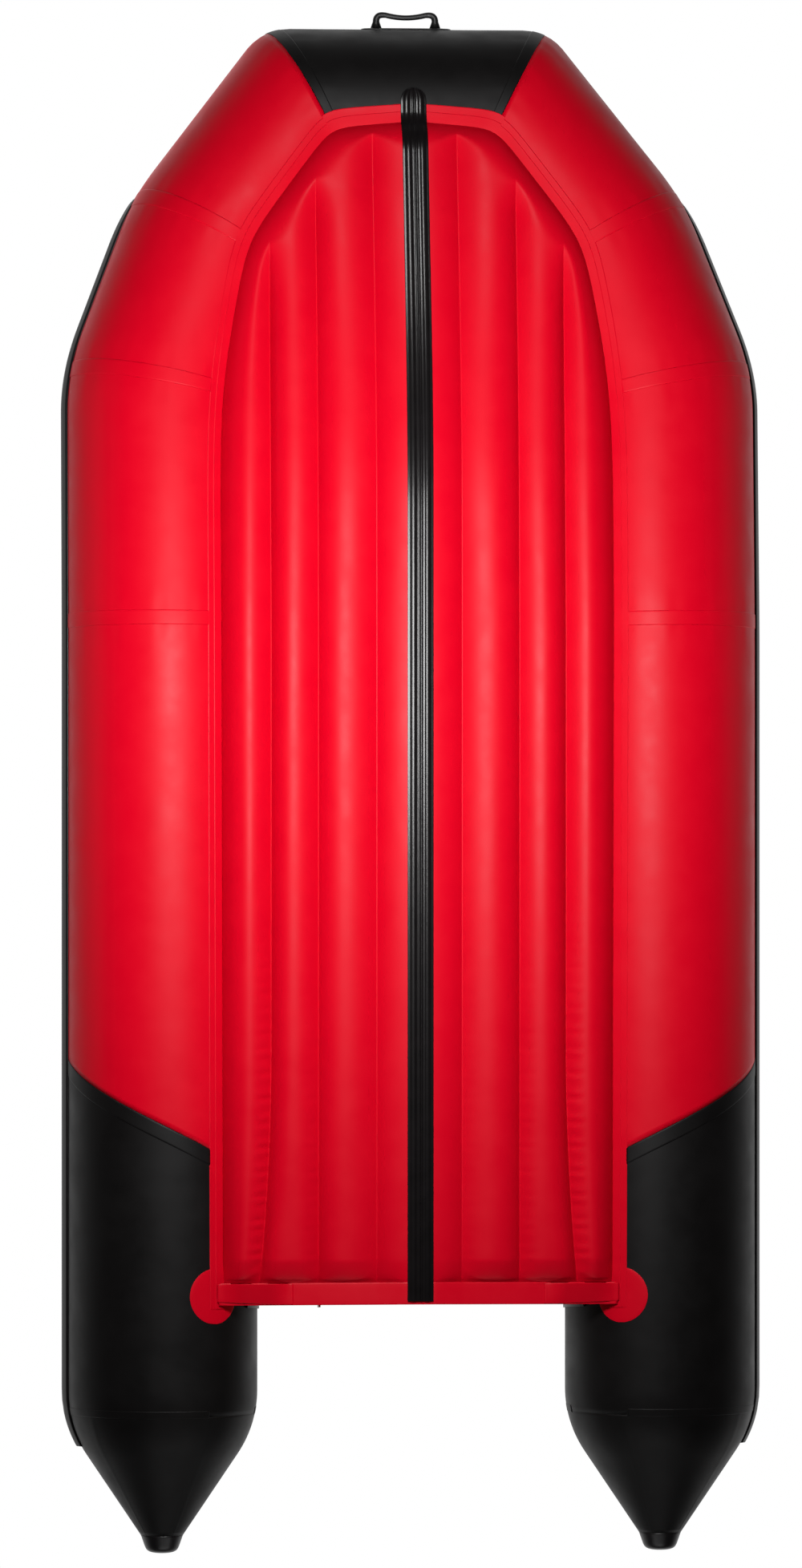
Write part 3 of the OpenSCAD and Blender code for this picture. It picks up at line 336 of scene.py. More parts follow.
# %% Coated fabric
def coated_fabric(name, colour, worn, roughness, thread=3 * MM, print_through=0.05, specular=0.5):
    """PVC on woven polyester: two crossed waves for the threads, noise for clouds and soft dents."""
    mat, tree, shader, place, cloud = clouded(name, colour, worn, 60 * MM, 3.0, roughness, ior=1.5,
                                              specular=specular)
    cloud.inputs["Roughness"].default_value = 0.55
    gloss = add(tree, "MapRange", {"Value": cloud, "From Min": 0.3, "From Max": 0.7,
                                   "To Min": roughness - 0.04, "To Max": roughness + 0.05})
    tree.links.new(gloss.outputs["Result"], shader.inputs["Roughness"])
    waves = [add(tree, "TexWave", {"Vector": place["UV"], "Scale": math.pi / (10 * thread),
                                   "Distortion": 0.4}, wave_type="BANDS", bands_direction=way_of)
             for way_of in ("X", "Y")]
    weave = add(tree, "Math", {0: waves[0].outputs["Fac"], 1: waves[1].outputs["Fac"]},
                operation="MULTIPLY")
    dents = add(tree, "TexNoise", {"Vector": place["Object"], "Scale": 1 / (90 * MM), "Detail": 1.0})
    soft = add(tree, "Bump", {"Height": dents, "Strength": 0.25, "Distance": 4 * MM})
    fine = add(tree, "Bump", {"Height": weave, "Strength": print_through, "Distance": 0.6 * MM,
                              "Normal": soft})
    tree.links.new(fine.outputs["Normal"], shader.inputs["Normal"])
    return mat


finishes = {   # by material slot
    "red_pvc": coated_fabric("red_coated_pvc", "#b40018", "#ba0119", 0.42, specular=0.09),
    "black_pvc": coated_fabric("black_coated_pvc", "#070606", "#0c0a0a", 0.50, specular=0.17),
    "grey_pvc": coated_fabric("grey_coated_pvc", "#4a4c4f", "#56585a", 0.5, print_through=0.4)}
print("coated fabrics made")

# %% [markdown]
# The strakes and the keel strip are extruded rubber: black, a little glossier than the fabric, with fine
# lines from the die along their length. Mouldings such as the handle and the rowlocks are a matt spark
# texture, drawn at 1.5 mm so that it shows.

# %% Rubber and mouldings
def extruded_rubber(name, colour, roughness, specular):
    """Noise stretched along the piece gives die lines; clouds mix in a worn, greyer black."""
    mat, tree, shader, place, _ = clouded(name, colour, "#120f10", 35 * MM, 4.0, roughness, ior=1.52,
                                          specular=specular)
    stretch = add(tree, "Mapping", {"Vector": place["UV"], "Scale": (6.0, 900.0, 1.0)})
    lines = add(tree, "TexNoise", {"Vector": stretch, "Scale": 1.0, "Detail": 2.0})
    bump = add(tree, "Bump", {"Height": lines, "Strength": 0.15, "Distance": 0.4 * MM})
    tree.links.new(bump.outputs["Normal"], shader.inputs["Normal"])
    return mat


def moulded_plastic(name, colour, worn, roughness, grit=1.5 * MM):
    """Spark-textured moulding: a fine noise bump, with a lighter tone in worn clouds."""
    mat, tree, shader, place, _ = clouded(name, colour, worn, 25 * MM, 3.0, roughness, ior=1.49)
    grain = add(tree, "TexNoise", {"Vector": place["Object"], "Scale": 1 / grit, "Detail": 2.0})
    bump = add(tree, "Bump", {"Height": grain, "Strength": 0.2, "Distance": 0.3 * MM})
    tree.links.new(bump.outputs["Normal"], shader.inputs["Normal"])
    return mat


finishes["black_rubber"] = extruded_rubber("black_extruded_rubber", "#090708", 0.38, specular=0.33)
keel_rubber = extruded_rubber("black_keel_rubber", "#060505", 0.24, specular=0.22)
finishes["black_plastic"] = moulded_plastic("black_moulded_nylon", "#101010", "#1a1a1a", 0.45)
finishes["grey_plastic"] = moulded_plastic("grey_moulded_nylon", "#3c3d40", "#47484b", 0.5)
finishes["red_plastic"] = moulded_plastic("red_moulded_nylon", "#a80d1c", "#b91524", 0.35)
print("rubber and mouldings made")

# %% [markdown]
# Transom and thwarts are marine plywood under varnish. The face veneer has long grain, about 4 mm between
# lines and drawn out twelve times along the board. The plies would show on the cut edges only.

# %% Varnished plywood and steel
def varnished_plywood(name):
    """Broad and fine noise, both stretched along X, mix into the figure; a clear coat lies over it."""
    mat, tree, shader = finish(name, 0.45, ior=1.5, coat=0.6)
    shader.inputs["Coat Roughness"].default_value = 0.2
    place = add(tree, "TexCoord").outputs
    stretch = add(tree, "Mapping", {"Vector": place["Object"], "Scale": (1 / 12, 1.0, 1.0)})
    figure, grain = [add(tree, "TexNoise", {"Vector": stretch, "Scale": 1 / size, "Detail": 3.0})
                     for size in (45 * MM, 4 * MM)]
    both = add(tree, "Mix", {"Factor": 0.45, "A": figure, "B": grain})
    tone = add(tree, "ValToRGB", {"Fac": both})
    for stop, place_on, colour in zip(tone.color_ramp.elements, (0.32, 0.68), ("#8a5a2c", "#c39355")):
        stop.position = place_on
        stop.color = linear(colour)
    tree.links.new(tone.outputs["Color"], shader.inputs["Base Color"])
    bump = add(tree, "Bump", {"Height": grain, "Strength": 0.1, "Distance": 0.3 * MM})
    tree.links.new(bump.outputs["Normal"], shader.inputs["Normal"])
    return mat


def stainless(name):
    """Turned stainless steel: noise of 0.8 mm varies the roughness."""
    mat, tree, shader = finish(name, 0.3, metallic=1.0)
    shader.inputs["Base Color"].default_value = linear("#c4c4c6")
    place = add(tree, "TexCoord").outputs
    streak = add(tree, "TexNoise", {"Vector": place["Object"], "Scale": 1 / (0.8 * MM), "Detail": 2.0})
    rough = add(tree, "MapRange", {"Value": streak, "To Min": 0.2, "To Max": 0.4})
    tree.links.new(rough.outputs["Result"], shader.inputs["Roughness"])
    return mat


finishes["plywood"] = varnished_plywood("varnished_marine_plywood")
finishes["steel"] = stainless("turned_stainless_steel")
print(len(finishes), "slots have a finish")

# %% [markdown]
# ## Air tubes
# Each panel is one grid: path distance one way, angle the other. A panel ends at a mitre plane or, at the
# stern, at the slanting seam of the photograph: 1.74 mm further aft for each degree inward, which comes
# back over the top as a rounded zigzag. Glued bends pucker a little, so shallow waves die out in 50 mm.

# %% Tube panels
AROUND = np.linspace(-180.0, 180.0, 192, endpoint=False)
SEAM_Y, SEAM_RISE = 726 * MM, 1.741 * MM
PUCKER, PUCKER_REACH = 0.28 * MM, 0.05


def stern_seam(angle):
    """Path distance of the stern seam: an arcsine of a sine, which is a zigzag with rounded corners."""
    zigzag = np.degrees(np.arcsin(0.995 * np.sin(np.radians(angle))))
    return knot[4] + SEAM_Y - path[4, 1] + SEAM_RISE * zigzag


def pucker(distance, angle):
    """Waves of about a quarter millimetre round the tube, times a bell along it at each glued bend."""
    waves = np.sin(np.radians(angle * 23)) + 0.6 * np.sin(np.radians(angle * 37 + 40))
    near = sum(np.exp(-((np.abs(distance) - knot[i]) / PUCKER_REACH) ** 2) for i in (1, 2, 3, 4))
    return PUCKER * waves * near


def tube_grid(start, end, step=12 * MM):
    """Grid between two seams, each a path distance for every angle."""
    first, last = (np.broadcast_to(x, AROUND.shape) for x in (start, end))
    rows = max(6, int(np.ceil((last - first).mean() / step)))
    share = np.linspace(0.0, 1.0, rows)[:, None]
    d = first + (last - first) * share
    return on_tube(d, AROUND[None], TUBE + pucker(d, AROUND[None]))


SHY = 0.1 * MM                    # each panel stops this far short of its seam
for name, start, end in (("forward_tube", knot[1], knot[2]),
                         ("shoulder_tube", knot[2], knot[3]),
                         ("fore_side_tube", knot[3], knot[4]),
                         ("aft_side_tube", knot[4], stern_seam(AROUND))):
    both_sides(name, tube_grid(start + SHY, end - SHY), "red_pvc", ring=True, wall=FABRIC)
both_sides("stern_tube", tube_grid(stern_seam(AROUND) + SHY, knot[5] - SHY), "black_pvc",
           ring=True, wall=FABRIC)
bow = mirrored(tube_grid(0.0, knot[1] - SHY), MIRROR)
piece("bow_tube_skin", bow, "black_pvc", ["bow_tube"], ring=True, wall=FABRIC)

# %% [markdown]
# The stern cones continue a wide bend that starts just before their seam, taper at about 34 degrees and
# end in a moulded round tip. Three gores make a cone, and each glued edge stands up by half a millimetre.

# %% Stern cones
GORES, RIDGE, RIDGE_REACH = (-52, 28, 150), 0.5 * MM, 1.6     # degrees round the cone, height, degrees


def gore_edges(angle):
    """Low ridges at three angles round the cone, each a bell of the angle to it."""
    off = [np.mod(angle - gore + 180, 360) - 180 for gore in GORES]
    return sum(RIDGE * np.exp(-(o / RIDGE_REACH) ** 2) for o in off)


cone_run = CONE_LENGTH - TIP_LENGTH
rows = spaced((SHY, 70 * MM, 16), (80 * MM, cone_run, 24))
cone = on_tube(rows[:, None] + knot[5], AROUND[None], TUBE + gore_edges(AROUND)[None])
both_sides("stern_cone", cone, "black_pvc", ring=True, wall=FABRIC)

tip_r = TUBE - float(cone_drop(cone_run))
# the tip narrows by 0.3 of its radius and rounds off at its end
s = np.sin(np.linspace(0.0, math.pi / 2, 22))[:, None]
tip_z = cone_run + 0.2 * MM + TIP_LENGTH * 0.99 * s
tip_radius = tip_r * (1 - 0.3 * s) * (1 - 0.999 * s ** 10) ** 0.4
a = np.radians(AROUND[::2])[None]
tip = path[5] + np.stack([-np.sin(a) * tip_radius, tip_z + 0 * a, -np.cos(a) * tip_radius], -1)
both_sides("cone_tip", tip, "black_rubber", ["cone_tips"], ring=True, caps=2)

# %% [markdown]
# ## Seam tapes
# A tape covers each glued seam. It is a closed thin profile with a soft edge, 16 to 34 mm wide, carried
# round the tube at the seam. It follows the mitre, because its points are path distances on both sides.

# %% Seam tapes
TAPE_WIDTH = 30 * MM
SOFT_EDGE, UNDERSIDE = 1.4 * MM, -0.3 * MM


def tape_profile(width, thick):
    """Offsets across a tape and its height: flat on top, rounded at the edges, closed underneath."""
    x = np.concatenate([[0.0, SOFT_EDGE], np.linspace(0.0, width, 9)[1:-1], [width - SOFT_EDGE, width]])
    h = np.array([0.25, *[1.0] * 9, 0.25]) * thick
    return np.stack([np.concatenate([x, x[::-1]]), np.concatenate([h, np.full(len(h), UNDERSIDE)])], -1)


def ring_tape(start, angles, width=TAPE_WIDTH, lift=0.15 * MM, thick=TAPE):
    """Tape round the tube: rows go round, each row is the profile laid along the path from start."""
    across = tape_profile(width, thick)
    first = np.broadcast_to(start, angles.shape)[:, None]
    return on_tube(first + across[None, :, 0], angles[:, None], TUBE + lift + across[None, :, 1])


# from the deck's edge over the top and outboard to the floor's tape
under_run = np.linspace(-283.0, 27.0, 190)
for name, i, nodes in (("seam_tapes", 2, ["{}"]), ("shoulder_tape", 3, []), ("mid_tape", 4, [])):
    both_sides(name, ring_tape(knot[i] - TAPE_WIDTH / 2, under_run), "red_pvc", nodes, ring=True, caps=2)
black_tapes = {
    "stern_seam_tape": ring_tape(stern_seam(under_run) + 0.3 * MM, under_run, 34 * MM),
    "cone_tape": ring_tape(knot[5] - 13 * MM, under_run, 16 * MM, thick=0.4 * MM),
    "bow_tape": ring_tape(knot[1] - 22 * MM, np.linspace(-270.0, 16.0, 180), 22 * MM)}
for name, points in black_tapes.items():
    both_sides(name, points, "black_pvc", ["black_seam_tapes"], ring=True, caps=2)

# %% [markdown]
# Inside each side tube a domed membrane parts two air chambers. It can't be seen, but it is there.

# %% Chamber walls
ball, WALL_AFT = 1.25 * TUBE, 60 * MM       # radius of the dome, and how far aft of the seam its rim lies
rim = math.asin((TUBE - 1.4 * MM) / ball)
t = np.linspace(0.04, 1.0, 14)[:, None] * rim
a = circle(64)[None]
bulge = WALL_AFT + ball * (np.cos(t) - math.cos(rim)) + 0 * a
dome = path[4] + np.stack([ball * np.sin(t) * np.cos(a), bulge, ball * np.sin(t) * np.sin(a)], -1)
both_sides("chamber_wall", dome, "red_pvc", ["chamber_walls"], ring=True, caps=1, wall=FABRIC,
           facing=(0, 1, 0))

# %% [markdown]
# ## Air floor
# Seen from below, the floor's edge is an outline of straight sides with rounded corners. A soft minimum of
# the distances to the sides gives it, because one formula then serves the edge and the crease along it.
# For each place along the tube the angle at which its skin crosses the outline is found by halving.

# %% Floor edge
Y_END = 1053.5 * MM                     # the transom board's fore face at the keel
FLOOR_CORNERS = np.array([[0.0, -1379.5], [172.8, -1365.6], [352.3, -1126.1], [412.0, -817.0],
                          [407.5, 1100.0]]) * MM
# the upper skin's edge lies higher on the tubes and further in
DECK_CORNERS = np.array([[0.0, -1304.6], [136.6, -1285.9], [279.4, -1077.0], [363.0, -802.6],
                         [367.4, 1100.0]]) * MM


def depth_inside(x, y, corners, soft=13 * MM):
    """Distance inside an outline: a soft minimum of the distances to its straight sides, which rounds
    off the corners."""
    along = unit(np.diff(corners, axis=0))
    place = np.stack([np.abs(x), y], -1)[..., None, :] - corners[:-1]
    off = place[..., 1] * along[:, 0] - place[..., 0] * along[:, 1]
    return -soft * np.logaddexp.reduce(-off / soft, axis=-1)


def edge_angle(distance, corners, low=-20.0, high=100.0):
    """Angle where the line round the tube at this distance meets an outline, by halving 40 times."""
    lo, hi = np.full(distance.shape, low), np.full(distance.shape, high)
    for _ in range(40):
        mid = (lo + hi) / 2
        p = on_tube(distance, mid)
        out = depth_inside(p[..., 0], p[..., 1], corners) < 0
        lo, hi = np.where(out, mid, lo), np.where(out, hi, mid)
    return (lo + hi) / 2


end_distance = knot[4] + Y_END - path[4, 1]
calm = knot[4] + 0.2 - path[4, 1]       # aft of here the fabric ripples and needs closer rows
edge_d = spaced((0.012, knot[1], 34), (knot[1] + 0.005, 0.9, 90), (0.91, calm, 40),
                (calm + 0.005, end_distance - 0.064, 150),
                (end_distance - 0.06, end_distance - 0.4 * MM, 14))
edge = on_tube(edge_d, edge_angle(edge_d, FLOOR_CORNERS), TUBE + 0.3 * MM)
print("floor edge", np.round(edge[[0, 30, 80, -1]], 3).tolist())

# %% [markdown]
# Webs inside the floor tie it down along six lines, and between them the lower skin bulges. The surface is
# a shallow V of crests, from the keel up to the tubes. Each web then presses a crease into it, steep at the
# web and level at the crest. The floor's own edge is such a crease too. Near the bow a crease fades before
# it meets the edge.

# %% Creases
WEBS = np.array([89.0, 210.0, 308.0]) * MM
INBOARD, OUTBOARD = np.array([75.0, 52.0, 42.0]) * MM, np.array([69.0, 56.0, 55.0]) * MM
PULL = np.array([0.57, 0.61, 0.69])     # how deep each web's crease is, against the floor's edge


def smooth(t):
    """Zero below 0, one above 1, and 3 t squared minus 2 t cubed between."""
    t = ramp(t)
    return t * t * (3 - 2 * t)


def arc(t):
    """Rise of a circular arc, level at 0 and 60 degrees steep at 1, scaled to reach 1."""
    return 2 * (1 - np.sqrt(1 - 0.75 * ramp(t) ** 2))


def web_lines(y):
    """Offsets of the three webs at each y; the outermost spreads by 24 mm toward the stern."""
    return WEBS + ramp((y - 0.55) / 0.5)[..., None] ** 2 * np.array([0.0, 0.0, 24.0]) * MM


def creases(x, y, x_e):
    """How deep the webs press at each place. The chambers hang outboard, so a crease is steep on its
    inboard side, where it follows an arc, and easier on the other, where it follows a square."""
    w = web_lines(y)
    off = np.abs(x)[..., None] - w
    near = ramp(1 - np.abs(off) / np.where(off < 0, INBOARD, OUTBOARD))
    seen = smooth((x_e[..., None] - w - 0.02) / np.array([0.12, 0.10, 0.06]))
    return (PULL * seen * np.where(off < 0, arc(near), near ** 2)).sum(axis=-1)


print("webs", np.round(web_lines(np.array([0.0, Y_END])), 3).tolist())

# %% [markdown]
# The skin's height is the V of crests plus these creases. It is laid on a grid whose columns lie closest
# together at the creases.

# %% Lower skin
KEEL_Z, ROCKER, DEPTH, EDGE_WIDTH = 4.7 * MM, 800 * MM, 38 * MM, 60 * MM
KEEL_ROUND = 0.08                       # how far the V is rounded, as a share of the half width
END_FULL, END_RUN = 0.36, 0.045         # share of the bulges left at the transom, and the run to it
y_front = edge[0, 1]
keel_top = edge[0, 2] - FABRIC - DEPTH


def keel_line(y):
    """Height of the keel: flat aft, then u squared times (2 - u) over the rocker's length."""
    u = ramp((y_front + ROCKER - y) / ROCKER)
    return KEEL_Z + (keel_top - KEEL_Z) * u ** 2 * (2 - u)


def edge_crease(x, y):
    """How deep the floor's edge presses: an arc of the distance inside its outline."""
    return arc(1 - depth_inside(x, y, FLOOR_CORNERS) / EDGE_WIDTH)


def lower_height(x, y, x_e, z_e):
    """Crests on a V with a rounded keel, plus the creases. Over the last 45 mm before the transom the
    bulges sink to about a third, except on the keel."""
    u = np.hypot(np.abs(x) / x_e, KEEL_ROUND) - KEEL_ROUND
    side = math.hypot(1, KEEL_ROUND) - KEEL_ROUND
    crest = keel_line(y) + (z_e - FABRIC - DEPTH - keel_line(y)) * u / side
    full = END_FULL + (1 - END_FULL) * ramp((Y_END - 0.006 - y) / END_RUN) ** 0.5
    full = full + (1 - full) * np.exp(-(x / 0.06) ** 2)
    pressed = np.maximum(creases(x, y, x_e), edge_crease(x, y))
    return crest + DEPTH * (1 - full * (1 - pressed))


CELLS = 14
f = (1 - np.cos(np.linspace(0.0, math.pi, CELLS, endpoint=False))) / 2


def floor_columns(x_e, y):
    """x of all columns in each row: the webs, pressed together where the floor gets narrow, and cells
    between them."""
    inner = np.minimum(web_lines(y), x_e[:, None] - np.array([12.0, 8.0, 4.0]) * MM)
    inner = np.maximum(inner, np.array([2.0, 4.0, 6.0]) * MM)
    k = np.concatenate([-x_e[:, None], -inner[:, ::-1], inner, x_e[:, None]], axis=1)
    x = k[:, :-1, None] + np.diff(k, axis=1)[..., None] * f
    return np.concatenate([x.reshape(len(y), -1), k[:, -1:]], axis=1)


def floor_sheet(edge_points, height):
    """Grid over the floor: x from the columns, y from the edge, z from a height function."""
    x_e, y, z_e = edge_points.T
    x = floor_columns(x_e, y)
    rows = [np.broadcast_to(q[:, None], x.shape) for q in (y, x_e, z_e)]
    return np.stack([x, rows[0], height(x, *rows)], -1)


low = floor_sheet(edge, lower_height)
print("lower skin", low.shape)

# %% [markdown]
# Toward the stern the fabric is gathered along its webs, most of all along the outermost. The gathers are
# short waves, about 26 mm long, in a band some 20 mm wide on the outboard side of the crease.

# %% Gathers
LONG_WAVE, SHORT_WAVE, GATHER = 0.026, 0.017, 1.5 * MM
BESIDE, REACH = 0.012, 0.010            # the band's middle outboard of its web, and its half width
EACH_WEB = np.array([0.12, 0.3, 1.0])   # how strongly the fabric is gathered along each web


def gathers(x, y):
    """Two waves along y times a bell beside each web, growing aft and stopping at the transom."""
    wave = np.sin(y * 2 * math.pi / LONG_WAVE + 2.2 * np.sin(y * 7))
    wave = wave + 0.5 * np.sin(y * 2 * math.pi / SHORT_WAVE + 1)
    off = np.abs(x)[..., None] - web_lines(y)
    bell = (np.exp(-((off - BESIDE) / REACH) ** 2) * EACH_WEB).sum(axis=-1)
    grow = ramp((y - 0.2) / 0.45)
    stop = ramp((Y_END - y) / 0.05)
    return GATHER * grow * stop * wave * bell


low[..., 2] += gathers(low[..., 0], low[..., 1])
piece("floor_lower_skin_fabric", low, "red_pvc", ["floor_lower_skin"], wall=FABRIC, facing=(0, 0, -1))
print("gathers of", GATHER / MM, "mm")

# %% [markdown]
# The upper skin is the floor one walks on. It has the same webs, with lower bulges. Between the skins
# stand the webs: plain upright strips that hold the floor flat under pressure.

# %% Upper skin and webs
deck_d = spaced((0.02, knot[1], 18), (knot[1] + 0.015, 0.95, 60), (0.97, end_distance - 0.005, 60))
deck_edge = on_tube(deck_d, edge_angle(deck_d, DECK_CORNERS, low=0.0), TUBE + 1.3 * MM)
deck_edge = deck_edge[deck_edge[:, 1] < Y_END - 0.6 * MM]
DECK_BULGE = 8 * MM


def upper_height(x, y, x_e, z_e):
    """Level with the edge, plus bulges 8 mm high that start behind the bow tube and end at the transom."""
    fill = smooth((y - deck_edge[0, 1] - 0.02) / 0.2) * np.clip((Y_END - y) / 0.06, 0.1, 1.0)
    side = ramp(1 - (x_e - np.abs(x)) / EDGE_WIDTH) ** 2
    return z_e + FABRIC + DECK_BULGE * fill * (1 - np.maximum(creases(x, y, x_e), side))


deck = floor_sheet(deck_edge, upper_height)
piece("floor_upper_skin_fabric", deck, "grey_pvc", ["floor_upper_skin"], wall=FABRIC, facing=(0, 0, 1))
for number in range(3):
    rows = edge[(edge[:, 0] > WEBS[number] + 60 * MM) & (edge[:, 1] < Y_END - 0.06)][::6]
    rows = rows[np.interp(rows[:, 1], deck_edge[:, 1], deck_edge[:, 0]) > WEBS[number] + 30 * MM]
    x = web_lines(rows[:, 1])[:, number]
    foot = lower_height(x, rows[:, 1], rows[:, 0], rows[:, 2]) + 1.8 * MM
    head = np.interp(rows[:, 1], deck_edge[:, 1], deck_edge[:, 2]) - 0.6 * MM
    web = np.stack([np.stack([x, rows[:, 1], z], -1) for z in (foot, head)], axis=1)
    both_sides(f"web_{number}", web, "grey_pvc", ["floor_webs"], wall=FABRIC, facing=(0, 1, 0))
print("deck", deck.shape)

# %% [markdown]
# ## Tapes along the floor
# A tape glues the floor to the tubes. It lies on the tube just outside the floor's edge; its cross
# section is two layers, so that a fine line runs along it, as in the photograph.

# %% Floor tapes
def floor_band(distance, angle, width=33 * MM, lap=3 * MM, lift=0.35 * MM):
    """Rows along the tube; each row is a two-layer tape profile laid outward from the floor's edge."""
    x = np.concatenate([[-lap], np.linspace(-lap, 0.55 * width, 5),
                        np.linspace(0.55 * width + 1.2 * MM, width - 1.5 * MM, 4), [width, -lap]])
    h = np.array([0.1, 1.5, 1.5, 1.5, 1.5, 1.5, 0.7, 0.7, 0.7, 0.7, -0.1, -0.2]) * MM
    a = angle[:, None] - np.degrees(x / TUBE)[None]
    return on_tube(distance[:, None], a, TUBE + lift + h[None])


side_d = spaced((knot[1] - 2 * MM, 1.0, 130), (1.02, end_distance - 0.05, 70),
                (end_distance - 0.04, end_distance + 0.05, 14))
over_patch = 0.35 * MM + 0.8 * MM * smooth((side_d[:, None] - end_distance + 0.045) / 0.02)
band = floor_band(side_d, edge_angle(side_d, FLOOR_CORNERS), lift=over_patch)
both_sides("floor_tape", band, "red_pvc", ring=True, caps=2, sharp=20)
bow_d = np.linspace(0.0, knot[1] + 9 * MM, 44)
bow_band = mirrored(floor_band(bow_d, edge_angle(bow_d, FLOOR_CORNERS), 38 * MM, lift=0.8 * MM), MIRROR)
piece("bow_floor_tape_fabric", bow_band, "red_pvc", ["bow_floor_tape"], ring=True, caps=2, sharp=20)

# %% [markdown]
# ## Keel strip
# The keel strip is an extruded rubber guard: plain lips at the edges, two high ridges and fine grooves in
# the middle. Its profile is a function of the place across it. The front end is a half round, made by
# narrowing the profile as a circle does.

# %% Keel strip
STRIP, NOSE = 54 * MM, 0.027       # width, and length of the half round front end
y_strip0, y_strip1 = y_front - 72 * MM, Y_END + 32 * MM
ys = np.concatenate([y_strip0 + NOSE * (1 - np.cos(np.linspace(0.12, math.pi / 2, 12))),
                     spaced((y_strip0 + 0.031, -0.5, 90), (-0.48, y_strip1, 70))])
fine = np.linspace(y_strip0 - 0.1, y_strip1 + 0.1, 1401)
on_bow = path[0, 2] - np.sqrt((TUBE + 2.4 * MM) ** 2 - np.clip(fine - path[0, 1], -0.15, 0.15) ** 2)
on_floor = keel_line(fine) + DEPTH * edge_crease(0 * fine, fine) - 0.2 * MM
lie = np.where(fine < y_front, on_bow, on_floor)
eased = np.convolve(np.pad(lie, 10, mode="edge"), np.full(21, 1 / 21), mode="valid")
strip_z = np.interp(ys, fine, np.minimum(lie, eased))
across = mirrored([0, .04, .1, .14, .2, .3, .36, .42, .52, .62, .74, .80, .86, .93, 1], -1.0)
rib = mirrored([2.8, 3.7, 3.7, 3.0, 2.9, 2.9, 3.4, 4.3, 4.5, 4.3, 3.3, 2.5, 2.3, 2.3, 1.9]) * MM
round_end = np.sqrt(np.clip(1 - ((y_strip0 + NOSE - ys) / NOSE) ** 2, 0.02, 1.0))
nose = np.where(ys < y_strip0 + NOSE, round_end, 1.0)[:, None]
x_loop = np.concatenate([across, across[::-1]]) * (STRIP / 2)
rib_loop = np.concatenate([rib, 0 * rib])              # the back is flat
strip = np.stack([x_loop * nose, ys[:, None] + 0 * x_loop,
                  strip_z[:, None] - rib_loop * np.minimum(1.0, 0.5 + 0.5 * nose)], -1)
piece("keel_strip_rubber", strip, "black_rubber", ["keel_strip"], ring=True, caps=2, sharp=50,
      own_finish=keel_rubber)
print("keel strip", len(ys), "rows")

# %% [markdown]
# ## Transom tape and corner patches
# A wide tape wraps the floor's end under the transom. Near each end it is folded over once more, with a
# twist that fades outboard. A round patch with a thin rim covers each corner.

# %% Transom tape and patches
RAKE = math.radians(4)
BOARD_X = np.array([0.0, 31.0, 89.0, 407.5]) * MM
BOARD_Z = np.array([8.47, 8.47, 20.3, 61.2]) * MM
LIPS = np.array([0.6, 0.2, 0, 0, 0, 0, 0, 0.2, 0.6]) * MM      # how far the tape's lips turn up


def board_edge(x):
    """Height of the transom's lower edge across the boat: level under the strip, then a shallow V."""
    return np.interp(np.abs(x), BOARD_X, BOARD_Z)


def transom_sheet(x, below, aft=38.5, fore=-8.0, tilt=0.0):
    """Sheet under the transom's edge: rows across the boat, columns from its fore lip to its aft lip. The
    tilt is how far the fore lip hangs below the aft lip."""
    share = np.array([0.0, 0.01, 0.06, 0.25, 0.5, 0.75, 0.94, 0.99, 1.0])
    aft, below, tilt = (np.broadcast_to(v, x.shape)[:, None] for v in (aft, below, tilt))
    depth = (fore + (aft - fore) * share) * MM
    z = board_edge(x)[:, None] - below + LIPS[None] - tilt * (1 - share)
    return np.stack([np.broadcast_to(x[:, None], z.shape),
                     Y_END + depth * math.cos(RAKE) + z * math.sin(RAKE),
                     -depth * math.sin(RAKE) + z * math.cos(RAKE)], -1)


xt = np.linspace(-0.416, 0.416, 141)
gather = 0.3 * MM * np.sin(xt * 2 * math.pi / 0.047) * np.abs(xt / 0.4) ** 2
end_lift = ramp((np.abs(xt) - 0.385) / 0.03) * 3.4 * MM
piece("transom_tape_fabric", transom_sheet(xt, 0.4 * MM + end_lift - gather), "red_pvc",
      ["transom_tape"], wall=TAPE, facing=(0, 0, -1))
FOLD_START, FOLD_RUN = 0.262, 0.158
xf = np.linspace(FOLD_START, 0.420, 40)
fold = ramp((xf - FOLD_START) / FOLD_RUN)
twist = 15 * MM * smooth(fold / 0.3) * (1 - 0.8 * smooth((fold - 0.6) / 0.4))
both_sides("transom_fold", transom_sheet(xf, (1.3 + 3.6 * fold ** 2) * MM, fore=-6.0, tilt=twist,
                                         aft=37.5 - 6 * ramp(fold * 1.3 - 0.3)),
           "red_pvc", ["transom_tape"], wall=TAPE, facing=(0, 0, -1))

PATCH, PATCH_AFT, PATCH_ANGLE = 57.5, 24 * MM, 30      # radius in millimetres, and the middle's place
rho = np.array([0.04, 0.3, 0.6, 0.85, 0.97, 1.0, 1.0])[:, None] * PATCH * MM
lift = np.array([0.7, 0.7, 0.7, 0.7, 0.7, 0.3, -0.2])[:, None] * MM
theta = circle(72)[None]
patch = on_tube(end_distance + PATCH_AFT + rho * np.cos(theta),
                PATCH_ANGLE + np.degrees(rho * np.sin(theta) / TUBE), TUBE + 0.2 * MM + lift + 0 * theta)
both_sides("corner_patch", patch, "red_pvc", ["corner_patches"], ring=True, caps=1, sharp=30,
           facing=(0, 0, -1))

# %% [markdown]
# ## Rub strakes
# A ribbed rubber extrusion guards the outboard side from the second bend to the cone, where it bends in
# with the cone and is cut off square.

